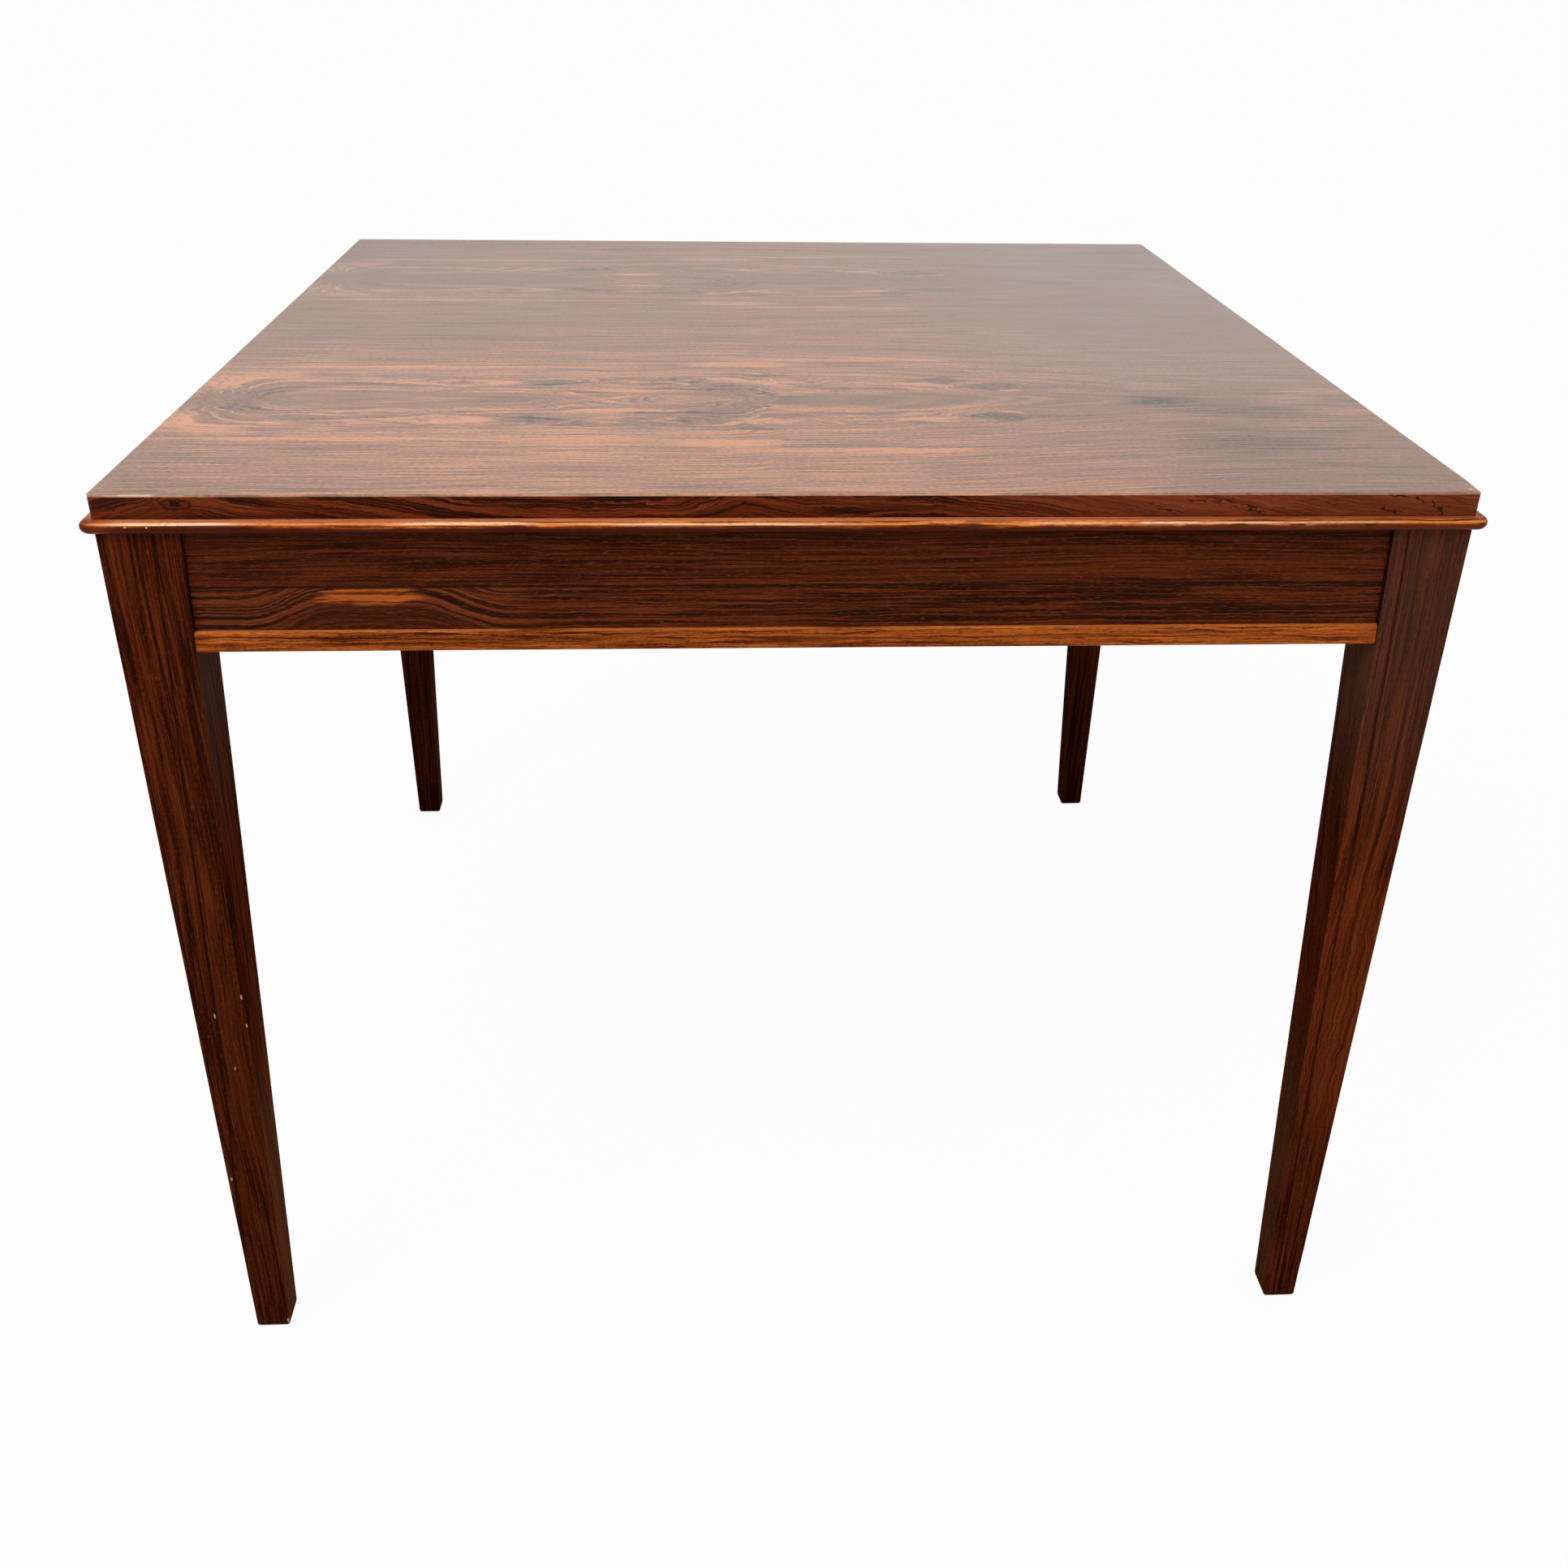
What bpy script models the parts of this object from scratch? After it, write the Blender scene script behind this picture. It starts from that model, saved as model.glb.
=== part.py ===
"""A square coffee table in rosewood, modelled as the separate pieces that its maker joined.

The top is a veneered board with solid lippings round its edge and a half-round moulding below
them. It is screwed to a base of four tapered legs, with an apron between each two legs, a bead
along the lower edge of each apron, dowels in the joints and a block behind each leg.

Metres, +Z up. The floor is at height zero, the middle of the table is at the origin, the front
faces -Y and the grain of the top runs along X.
"""

import math

import bmesh
import bpy
from mathutils import Matrix, Vector

# Clearances
GAP = 0.0003              # between two pieces that touch
OVERRUN = 0.002           # how far a cutter runs out of the wood
MERGE = 0.00001           # points nearer than this are one

# Whole table
TABLE_HEIGHT = 0.500
TOP_WIDTH = 0.610
TOP_DEPTH = 0.610

# Board
EDGE_HEIGHT = 0.011       # from the upper face to the moulding
FACE_THICKNESS = 0.0007   # veneer on the upper face
FACE_ARRIS = 0.0003
BACKING_THICKNESS = 0.0006
LIPPING_THICKNESS = 0.008
TOP_CORNER_RADIUS = 0.0025

# Moulding
MOULDING_THICKNESS = 0.0055
MOULDING_REACH = 0.0050   # how far it stands out from the lippings
MOULDING_NOSE_FLAT = 0.0004  # left upright between the two rounds of its nose
MOULDING_CORNER_RADIUS = 0.0060

# Legs
LEG_INSET = 0.00055       # from the lippings' face to the legs' outer faces
LEG_TOP_WIDTH = 0.0360
LEG_FOOT_WIDTH = 0.0183
LEG_ARRIS = 0.0008
FOOT_EASING = 0.0015

# Aprons and beads, set back from the legs' outer faces
APRON_SETBACK = 0.0031
APRON_THICKNESS = 0.018
APRON_HEIGHT = 0.0476
BEAD_SETBACK = 0.0009
BEAD_HEIGHT = 0.0097
BEAD_RADIUS = 0.0012

# Dowels
DOWEL_RADIUS = 0.004
DOWEL_CHAMFER = 0.0008
DOWEL_SPACING = 0.022     # between the two dowels of a joint
DOWEL_IN_APRON = 0.015
DOWEL_WEB = 0.003         # wood left between the dowels that come from two sides

# Corner blocks
BLOCK_HEIGHT = 0.026
BLOCK_TIP = 0.006         # width of its blunt ends
BLOCK_MARGIN = 0.020      # wood beyond the screws that go into the aprons
BLOCK_SCREW_GRIP = 0.018  # length of such a screw inside the block
BLOCK_SCREW_BITE = 0.011  # and inside the apron
SCREW_TO_DOWEL = 0.008    # from the end of a dowel to the middle of the screw beside it

# Screws that hold the top
TOP_SCREW_BITE = 0.010    # length inside the top
POCKET_SCREW_GRIP = 0.014
POCKET_ANGLE = math.radians(20)

# The form of each screw
SCREW_HEAD_RADIUS = 0.004
SCREW_HEAD_HEIGHT = 0.0024
SCREW_HEAD_RIM = 0.0004
SCREW_SHANK_RADIUS = 0.002
SCREW_POINT_LENGTH = 0.004
SLOT_WIDTH = 0.001
SLOT_DEPTH = 0.0012

# How finely round shapes are divided
CORNER_STEPS = 4
NOSE_STEPS = 5
ARRIS_STEPS = 2
ROUND_SIDES = 12

# Levels and depths that follow from the sizes above
EDGE_LEVEL = TABLE_HEIGHT - EDGE_HEIGHT
BOARD_LEVEL = EDGE_LEVEL - MOULDING_THICKNESS
FRAME_LEVEL = BOARD_LEVEL - GAP
APRON_LEVEL = FRAME_LEVEL - APRON_HEIGHT
BLOCK_LEVEL = FRAME_LEVEL - BLOCK_HEIGHT
APRON_MIDDLE = APRON_SETBACK + APRON_THICKNESS / 2
APRON_INNER = APRON_SETBACK + APRON_THICKNESS
JOINT_HEIGHTS = {
    "upper": FRAME_LEVEL - APRON_HEIGHT / 2 + DOWEL_SPACING / 2,
    "lower": FRAME_LEVEL - APRON_HEIGHT / 2 - DOWEL_SPACING / 2,
}

QUARTER_TURN = math.radians(90)
SIDES = ("front", "right", "back", "left")
CORNERS = {
    "front_left": (-1, -1),
    "front_right": (1, -1),
    "back_right": (1, 1),
    "back_left": (-1, 1),
}

# Colour, roughness and metallic value of each finish
FINISHES = {
    "face_veneer": ((0.20, 0.088, 0.050), 0.30, 0),
    "edge_wood": ((0.095, 0.022, 0.008), 0.32, 0),
    "moulding_wood": ((0.24, 0.062, 0.018), 0.28, 0),
    "apron_veneer": ((0.070, 0.019, 0.007), 0.36, 0),
    "bead_wood": ((0.25, 0.066, 0.017), 0.32, 0),
    "leg_wood": ((0.068, 0.017, 0.007), 0.36, 0),
    "core_board": ((0.52, 0.36, 0.20), 0.75, 0),
    "backing_veneer": ((0.21, 0.095, 0.045), 0.60, 0),
    "block_wood": ((0.56, 0.38, 0.21), 0.65, 0),
    "dowel_wood": ((0.60, 0.43, 0.25), 0.65, 0),
    "screw_steel": ((0.42, 0.40, 0.37), 0.38, 1),
}


def clear_scene():
    """Removes every object of the open file."""
    for old in list(bpy.data.objects):
        bpy.data.objects.remove(old)


def make_collection(name):
    """A new collection in the scene."""
    made = bpy.data.collections.new(name)
    bpy.context.scene.collection.children.link(made)
    return made


def make_finish(name):
    """The material of one kind of wood or metal."""
    colour, roughness, metallic = FINISHES[name]
    finish = bpy.data.materials.new(name)
    finish.use_nodes = True
    shader = finish.node_tree.nodes["Principled BSDF"]
    shader.inputs["Base Color"].default_value = (*colour, 1)
    shader.inputs["Roughness"].default_value = roughness
    shader.inputs["Metallic"].default_value = metallic
    finish.diffuse_color = (*colour, 1)
    return finish


def leg_width(height):
    """Width of a leg at a height. Its two inner faces taper from the board to the floor."""
    return LEG_FOOT_WIDTH + (LEG_TOP_WIDTH - LEG_FOOT_WIDTH) * height / FRAME_LEVEL


def top_length(side):
    """Length of the top along a side."""
    return TOP_WIDTH if side in ("front", "back") else TOP_DEPTH


def top_distance(side):
    """Distance from the middle of the table to the lippings' face on a side."""
    return TOP_DEPTH / 2 if side in ("front", "back") else TOP_WIDTH / 2


def mesh_from(bm, name):
    """Turns a bmesh into a mesh, with its faces pointing out and smooth round its round edges."""
    bmesh.ops.recalc_face_normals(bm, faces=bm.faces)
    mesh = bpy.data.meshes.new(name)
    bm.to_mesh(mesh)
    bm.free()
    mesh.shade_smooth()
    mesh.set_sharp_from_angle(angle=math.radians(35))
    return mesh


def shaped_box(corner):
    """A cube with its eight corners moved to where corner(right, far, upper) puts them."""
    bm = bmesh.new()
    bmesh.ops.create_cube(bm, size=1)
    for vert in bm.verts:
        vert.co = corner(vert.co.x > 0, vert.co.y > 0, vert.co.z > 0)
    return bm


def round_edges(bm, edges, radius, steps):
    """Rounds the given edges."""
    bmesh.ops.bevel(
        bm,
        geom=edges,
        offset=radius,
        offset_type="OFFSET",
        segments=steps,
        profile=0.5,
        affect="EDGES",
    )


def drawn_outline(points, low, high):
    """A flat outline drawn out between two heights, as a closed bmesh."""
    curve = bpy.data.curves.new("outline", "CURVE")
    curve.dimensions = "2D"
    curve.fill_mode = "BOTH"
    curve.extrude = (high - low) / 2
    spline = curve.splines.new("POLY")
    spline.points.add(len(points) - 1)
    for point, (x, y) in zip(spline.points, points):
        point.co = (x, y, 0, 1)
    spline.use_cyclic_u = True
    guide = bpy.data.objects.new("outline", curve)
    bpy.context.scene.collection.objects.link(guide)
    guide.location.z = (low + high) / 2
    depsgraph = bpy.context.evaluated_depsgraph_get()
    mesh = bpy.data.meshes.new_from_object(guide.evaluated_get(depsgraph))
    mesh.transform(guide.matrix_world)
    bpy.data.objects.remove(guide)
    bm = bmesh.new()
    bm.from_mesh(mesh)
    bpy.data.meshes.remove(mesh)
    bmesh.ops.remove_doubles(bm, verts=bm.verts, dist=MERGE)
    bmesh.ops.dissolve_limit(bm, angle_limit=math.radians(1), verts=bm.verts, edges=bm.edges)
    return bm


def turned(name, profile):
    """An object turned about its own Z axis from (radius, height) points that run from top to bottom."""
    bm = bmesh.new()
    verts = [bm.verts.new((radius, 0, height)) for radius, height in profile]
    for first, second in zip(verts, verts[1:]):
        bm.edges.new((first, second))
    mesh = bpy.data.meshes.new(name)
    bm.to_mesh(mesh)
    bm.free()
    made = bpy.data.objects.new(name, mesh)
    spin = made.modifiers.new("turning", "SCREW")
    spin.axis = "Z"
    spin.steps = ROUND_SIDES
    spin.render_steps = ROUND_SIDES
    spin.use_merge_vertices = True
    spin.merge_threshold = MERGE
    return made


class Table:
    """Holds the collections, the finishes and the frames that the pieces are placed in."""

    def __init__(self):
        self.parts = make_collection("coffee_table")
        self.cutters = make_collection("cutters")
        self.finishes = {name: make_finish(name) for name in FINISHES}
        self.middle = self.add_frame("table", None, (0, 0, 0), 0)
        self.side_frames = {}
        self.corner_frames = {}
        for turn, side in enumerate(SIDES):
            self.side_frames[side] = self.add_side_frame(side, turn)
        for turn, corner in enumerate(CORNERS):
            self.corner_frames[corner] = self.add_corner_frame(corner, turn)

    def add_frame(self, name, parent, location, turn):
        """An empty, turned by quarter turns, whose children are a group of pieces."""
        frame = bpy.data.objects.new(name, None)
        self.parts.objects.link(frame)
        frame.parent = parent
        frame.location = location
        frame.rotation_euler.z = turn * QUARTER_TURN
        return frame

    def add_side_frame(self, side, turn):
        """On the line of the legs' outer faces: X runs along the side and Y points inwards."""
        out = Matrix.Rotation(turn * QUARTER_TURN, 3, "Z") @ Vector((0, -1, 0))
        return self.add_frame(f"{side}_side", self.middle, out * (top_distance(side) - LEG_INSET), turn)

    def add_corner_frame(self, corner, turn):
        """On a leg's outer arris: X and Y both run inwards, along the two sides that meet there."""
        across, along = CORNERS[corner]
        place = Vector((across * (TOP_WIDTH / 2 - LEG_INSET), along * (TOP_DEPTH / 2 - LEG_INSET), 0))
        return self.add_frame(f"{corner}_corner", self.middle, place, turn)

    def add_piece(self, piece, finish, frame, location=(0, 0, 0), rotation=(0, 0, 0)):
        """Places a piece of the table in a frame."""
        self.parts.objects.link(piece)
        piece.data.materials.append(self.finishes[finish])
        piece.parent = frame
        piece.location = location
        piece.rotation_euler = rotation
        return piece

    def add_cutter(self, cutter, frame, location=(0, 0, 0), rotation=(0, 0, 0)):
        """Places a shape that is taken out of the pieces, and isn't one itself."""
        self.cutters.objects.link(cutter)
        cutter.hide_render = True
        cutter.display_type = "WIRE"
        cutter.parent = frame
        cutter.location = location
        cutter.rotation_euler = rotation
        return cutter


def cut(piece, cutter):
    """Takes a cutter's shape out of a piece."""
    hole = piece.modifiers.new(cutter.name, "BOOLEAN")
    hole.operation = "DIFFERENCE"
    hole.solver = "EXACT"
    hole.object = cutter


def rounded_sheet(name, low, high):
    """A sheet as large as the top, with its corners rounded, between two heights."""
    bm = shaped_box(
        lambda right, far, upper: (
            TOP_WIDTH / 2 if right else -TOP_WIDTH / 2,
            TOP_DEPTH / 2 if far else -TOP_DEPTH / 2,
            high if upper else low,
        )
    )
    uprights = [edge for edge in bm.edges if edge.verts[0].co.z != edge.verts[1].co.z]
    round_edges(bm, uprights, TOP_CORNER_RADIUS, CORNER_STEPS * 2)
    return bm


def make_face_veneer(table):
    """The sheet of veneer on the upper face, which runs over the lippings to the arris."""
    bm = rounded_sheet("face_veneer", TABLE_HEIGHT - FACE_THICKNESS, TABLE_HEIGHT)
    rim = [edge for edge in bm.edges if all(vert.co.z > TABLE_HEIGHT - MERGE for vert in edge.verts)]
    round_edges(bm, rim, FACE_ARRIS, ARRIS_STEPS)
    piece = bpy.data.objects.new("face_veneer", mesh_from(bm, "face_veneer"))
    return table.add_piece(piece, "face_veneer", table.middle)


def make_board_layer(table, name, finish, low, high):
    """A square layer of the board inside the lippings and the moulding."""
    half_width = TOP_WIDTH / 2 - LIPPING_THICKNESS - GAP
    half_depth = TOP_DEPTH / 2 - LIPPING_THICKNESS - GAP
    bm = shaped_box(
        lambda right, far, upper: (
            half_width if right else -half_width,
            half_depth if far else -half_depth,
            high if upper else low,
        )
    )
    piece = bpy.data.objects.new(name, mesh_from(bm, name))
    return table.add_piece(piece, finish, table.middle)


def mitred_outline(half_length, distance, width, corner_radius):
    """Plan of a strip along a side, mitred at both ends, with its outer corners rounded.

    The strip lies at -Y of the table's middle. Its outer edge is at the given distance.
    """
    inner_end = half_length - width - GAP * math.sqrt(0.5)
    corner = Vector((half_length - corner_radius, corner_radius - distance))
    shortfall = math.asin(GAP / 2 / corner_radius)
    right = []
    for step in range(CORNER_STEPS + 1):
        angle = -math.radians(45) - shortfall - (math.radians(45) - shortfall) * step / CORNER_STEPS
        right.append((corner.x + corner_radius * math.cos(angle), corner.y + corner_radius * math.sin(angle)))
    left = [(-x, y) for x, y in reversed(right)]
    return [(-inner_end, width - distance), (inner_end, width - distance), *right, *left]


def make_lipping(table, side, turn):
    """One of the solid strips round the board, under the face veneer."""
    points = mitred_outline(top_length(side) / 2, top_distance(side), LIPPING_THICKNESS, TOP_CORNER_RADIUS)
    bm = drawn_outline(points, EDGE_LEVEL + GAP, TABLE_HEIGHT - FACE_THICKNESS - GAP)
    piece = bpy.data.objects.new(f"lipping_{side}", mesh_from(bm, f"lipping_{side}"))
    return table.add_piece(piece, "edge_wood", table.middle, rotation=(0, 0, turn * QUARTER_TURN))


def make_moulding(table, side, turn):
    """One of the strips below the lippings, with a half-round nose that stands out from them."""
    width = LIPPING_THICKNESS + MOULDING_REACH
    distance = top_distance(side) + MOULDING_REACH
    half_length = top_length(side) / 2 + MOULDING_REACH
    points = mitred_outline(half_length, distance, width, MOULDING_CORNER_RADIUS)
    bm = drawn_outline(points, BOARD_LEVEL, EDGE_LEVEL)
    nose_radius = (MOULDING_THICKNESS - MOULDING_NOSE_FLAT) / 2
    inner_line = width - distance - MERGE
    nose = [
        edge
        for edge in bm.edges
        if all(vert.co.y < inner_line for vert in edge.verts)
        and abs(edge.verts[0].co.z - edge.verts[1].co.z) < MERGE
    ]
    round_edges(bm, nose, nose_radius, NOSE_STEPS)
    piece = bpy.data.objects.new(f"moulding_{side}", mesh_from(bm, f"moulding_{side}"))
    return table.add_piece(piece, "moulding_wood", table.middle, rotation=(0, 0, turn * QUARTER_TURN))


def half_span(side, height):
    """Half the length of a piece that fits between two legs, at a height."""
    return top_length(side) / 2 - LEG_INSET - leg_width(height) - GAP


def bar_between_legs(side, near, low, high):
    """A bar from leg to leg, whose ends follow the legs' taper, from a near face to the aprons' inner face."""

    def corner(right, far, upper):
        height = high if upper else low
        reach = half_span(side, height)
        return (reach if right else -reach, APRON_INNER if far else near, height)

    return shaped_box(corner)


def make_apron(table, side):
    """The rail under the board between two legs."""
    bm = bar_between_legs(side, APRON_SETBACK, APRON_LEVEL, FRAME_LEVEL)
    piece = bpy.data.objects.new(f"apron_{side}", mesh_from(bm, f"apron_{side}"))
    return table.add_piece(piece, "apron_veneer", table.side_frames[side])


def make_bead(table, side):
    """The strip along the lower edge of an apron. It stands out from it, and its front arrises are round."""
    high = APRON_LEVEL - GAP
    bm = bar_between_legs(side, BEAD_SETBACK, high - BEAD_HEIGHT, high)
    arrises = [
        edge
        for edge in bm.edges
        if all(vert.co.y < BEAD_SETBACK + MERGE for vert in edge.verts)
        and abs(edge.verts[0].co.z - edge.verts[1].co.z) < MERGE
    ]
    round_edges(bm, arrises, BEAD_RADIUS, ARRIS_STEPS * 2)
    piece = bpy.data.objects.new(f"bead_{side}", mesh_from(bm, f"bead_{side}"))
    return table.add_piece(piece, "bead_wood", table.side_frames[side])


def make_leg(table, corner):
    """A leg with upright outer faces and tapering inner ones, eased more at the foot than along its arrises."""

    def corner_point(right, far, upper):
        height = FRAME_LEVEL if upper else 0
        return (leg_width(height) * right, leg_width(height) * far, height)

    bm = shaped_box(corner_point)
    weight = bm.edges.layers.float.new("bevel_weight_edge")
    for edge in bm.edges:
        heights = [vert.co.z for vert in edge.verts]
        if max(heights) < MERGE:
            edge[weight] = 1
        elif min(heights) < MERGE:
            edge[weight] = LEG_ARRIS / FOOT_EASING
    piece = bpy.data.objects.new(f"leg_{corner}", mesh_from(bm, f"leg_{corner}"))
    easing = piece.modifiers.new("easing", "BEVEL")
    easing.limit_method = "WEIGHT"
    easing.width = FOOT_EASING
    easing.segments = ARRIS_STEPS
    return table.add_piece(piece, "leg_wood", table.corner_frames[corner])


def dowel_span(height):
    """Where a dowel starts in the leg and ends in the apron, from the leg's outer face."""
    start = APRON_MIDDLE + DOWEL_RADIUS + DOWEL_WEB
    return start, leg_width(height) + DOWEL_IN_APRON


def round_bar(name, radius, length):
    """A cylinder along its own Z axis, about its middle."""
    bm = bmesh.new()
    bmesh.ops.create_cone(
        bm,
        cap_ends=True,
        segments=ROUND_SIDES,
        radius1=radius,
        radius2=radius,
        depth=length,
    )
    return bpy.data.objects.new(name, mesh_from(bm, name))


def dowel_place(direction, height):
    """Location and rotation of a dowel in its corner's frame. It runs along that frame's X or Y."""
    middle = sum(dowel_span(height)) / 2
    if direction == "x":
        return (middle, APRON_MIDDLE, height), (0, QUARTER_TURN, 0)
    return (APRON_MIDDLE, middle, height), (QUARTER_TURN, 0, 0)


def make_dowel(table, name, corner, direction, height):
    """A dowel in the joint of a leg and an apron, and the cutter of its two holes."""
    start, end = dowel_span(height)
    location, rotation = dowel_place(direction, height)
    dowel = round_bar(name, DOWEL_RADIUS, end - start)
    chamfer = dowel.modifiers.new("chamfer", "BEVEL")
    chamfer.limit_method = "ANGLE"
    chamfer.angle_limit = math.radians(60)
    chamfer.width = DOWEL_CHAMFER
    chamfer.segments = 1
    table.add_piece(dowel, "dowel_wood", table.corner_frames[corner], location, rotation)
    hole = round_bar(f"hole_for_{name}", DOWEL_RADIUS + GAP, end - start + 2 * GAP)
    return table.add_cutter(hole, table.corner_frames[corner], location, rotation)


def screw_profile(length, spare=0, bore=0):
    """Half the outline of a countersunk screw whose head faces up.

    Spare is the room round it in a hole, and bore is how far the hole goes on above its head.
    """
    shank = SCREW_SHANK_RADIUS + spare
    head = SCREW_HEAD_RADIUS + spare
    return [
        (0, bore),
        (head, bore),
        (head, -SCREW_HEAD_RIM - spare),
        (shank, -SCREW_HEAD_HEIGHT - spare),
        (shank, SCREW_POINT_LENGTH - length),
        (0, -length - spare),
    ]


def make_screw(table, name, length, bore, frame, location, rotation):
    """A slotted countersunk screw that points along its own -Z, and the cutter of its hole."""
    screw = turned(name, screw_profile(length))
    table.add_piece(screw, "screw_steel", frame, location, rotation)
    slot_reach = SCREW_HEAD_RADIUS + OVERRUN
    bm = shaped_box(
        lambda right, far, upper: (
            slot_reach if right else -slot_reach,
            SLOT_WIDTH / 2 if far else -SLOT_WIDTH / 2,
            OVERRUN if upper else -SLOT_DEPTH,
        )
    )
    slot = bpy.data.objects.new(f"slot_of_{name}", mesh_from(bm, f"slot_of_{name}"))
    cut(screw, table.add_cutter(slot, frame, location, rotation))
    hole = turned(f"hole_for_{name}", screw_profile(length, GAP, bore))
    return table.add_cutter(hole, frame, location, rotation)


def block_screw_distance():
    """From a leg's outer face to a screw that goes through the block into an apron."""
    return leg_width(JOINT_HEIGHTS["upper"]) + DOWEL_IN_APRON + SCREW_TO_DOWEL


def block_outline():
    """Plan of a corner block, with a notch round the leg, blunt ends and a slanting face."""
    seat = APRON_INNER + GAP
    notch = LEG_TOP_WIDTH + GAP
    end = block_screw_distance() + BLOCK_MARGIN
    half = [(notch, notch), (notch, seat), (end, seat), (end, seat + BLOCK_TIP)]
    mirrored = [(y, x) for x, y in reversed(half[1:])]
    return half + mirrored


def make_block(table, corner):
    """The block behind a leg, which stiffens the corner and holds the top down."""
    bm = drawn_outline(block_outline(), BLOCK_LEVEL, FRAME_LEVEL)
    piece = bpy.data.objects.new(f"corner_block_{corner}", mesh_from(bm, f"corner_block_{corner}"))
    return table.add_piece(piece, "block_wood", table.corner_frames[corner])


def make_block_screw(table, name, corner, direction):
    """A screw from the block into an apron. Its head sits in a bore in the slanting face."""
    across = block_screw_distance()
    head = APRON_INNER + GAP + BLOCK_SCREW_GRIP
    height = (BLOCK_LEVEL + FRAME_LEVEL) / 2
    bore = BLOCK_MARGIN + BLOCK_TIP + SCREW_HEAD_RADIUS + OVERRUN - BLOCK_SCREW_GRIP
    length = BLOCK_SCREW_GRIP + GAP + BLOCK_SCREW_BITE
    if direction == "x":
        location = (across, head, height)
        rotation = (-QUARTER_TURN, 0, 0)
    else:
        location = (head, across, height)
        rotation = (0, QUARTER_TURN, 0)
    return make_screw(table, name, length, bore, table.corner_frames[corner], location, rotation)


def make_top_screw(table, corner):
    """A screw up through the block into the top, midway between the notch and the slanting face."""
    notch = LEG_TOP_WIDTH + GAP
    slant = (block_screw_distance() + BLOCK_MARGIN + APRON_INNER + GAP + BLOCK_TIP) / 2
    middle = (notch + slant) / 2
    return make_screw(
        table,
        f"top_screw_{corner}",
        BLOCK_HEIGHT + GAP + TOP_SCREW_BITE,
        OVERRUN,
        table.corner_frames[corner],
        (middle, middle, BLOCK_LEVEL),
        (2 * QUARTER_TURN, 0, 0),
    )


def make_pocket_screw(table, side):
    """A slanting screw from a pocket in the apron's inner face up into the top."""
    slant = math.sin(POCKET_ANGLE)
    rise = math.cos(POCKET_ANGLE)
    wall = APRON_THICKNESS / 2 + (SCREW_HEAD_RADIUS + GAP) * rise
    return make_screw(
        table,
        f"pocket_screw_{side}",
        POCKET_SCREW_GRIP + GAP + TOP_SCREW_BITE,
        wall / slant + OVERRUN - POCKET_SCREW_GRIP,
        table.side_frames[side],
        (0, APRON_MIDDLE + POCKET_SCREW_GRIP * slant, FRAME_LEVEL - POCKET_SCREW_GRIP * rise),
        (2 * QUARTER_TURN + POCKET_ANGLE, 0, 0),
    )


def make_top(table):
    """The board with its lippings and moulding. Returns the two layers that screws go into."""
    make_face_veneer(table)
    backing_top = BOARD_LEVEL + BACKING_THICKNESS
    core_top = TABLE_HEIGHT - FACE_THICKNESS - GAP
    backing = make_board_layer(table, "backing_veneer", "backing_veneer", BOARD_LEVEL, backing_top)
    core = make_board_layer(table, "board_core", "core_board", backing_top + GAP, core_top)
    for turn, side in enumerate(SIDES):
        make_lipping(table, side, turn)
        make_moulding(table, side, turn)
    return backing, core


def make_corner(table, turn, corner, aprons, layers):
    """A leg with its block, dowels and screws, and the holes that they need in their neighbours."""
    leg = make_leg(table, corner)
    block = make_block(table, corner)
    for direction, side in (("x", SIDES[turn]), ("y", SIDES[turn - 1])):
        for level, height in JOINT_HEIGHTS.items():
            hole = make_dowel(table, f"dowel_{side}_apron_{corner}_{level}", corner, direction, height)
            cut(leg, hole)
            cut(aprons[side], hole)
        hole = make_block_screw(table, f"block_screw_{side}_apron_{corner}", corner, direction)
        cut(block, hole)
        cut(aprons[side], hole)
    hole = make_top_screw(table, corner)
    for piece in (block, *layers):
        cut(piece, hole)


def make_table():
    """The whole table."""
    table = Table()
    layers = make_top(table)
    aprons = {side: make_apron(table, side) for side in SIDES}
    for side in SIDES:
        make_bead(table, side)
        hole = make_pocket_screw(table, side)
        for piece in (aprons[side], *layers):
            cut(piece, hole)
    for turn, corner in enumerate(CORNERS):
        make_corner(table, turn, corner, aprons, layers)


clear_scene()
make_table()
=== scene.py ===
"""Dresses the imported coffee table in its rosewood, and puts it in a pale studio.

Metres, +Z up. The floor is at height zero, the middle of the table is at the origin, the front
faces -Y and the grain of the top runs along X. Places in the materials are in millimetres.
"""

import math

import bmesh
import bpy
from bpy.props import FloatProperty, FloatVectorProperty, PointerProperty
from mathutils import Matrix, Vector, noise


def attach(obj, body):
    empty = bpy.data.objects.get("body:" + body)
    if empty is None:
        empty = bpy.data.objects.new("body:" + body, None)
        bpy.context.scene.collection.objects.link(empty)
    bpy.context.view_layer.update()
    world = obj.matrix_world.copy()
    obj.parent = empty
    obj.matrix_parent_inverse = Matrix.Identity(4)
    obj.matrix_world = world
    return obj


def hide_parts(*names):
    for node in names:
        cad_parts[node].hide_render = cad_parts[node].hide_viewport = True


bl_info = {
    "name": "Rosewood Coffee Table",
    "version": (1, 0, 0),
    "blender": (4, 5, 0),
    "location": "View3D > Sidebar > Coffee Table",
    "description": "Dresses a square rosewood coffee table and its studio",
    "category": "Add Mesh",
}

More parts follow.
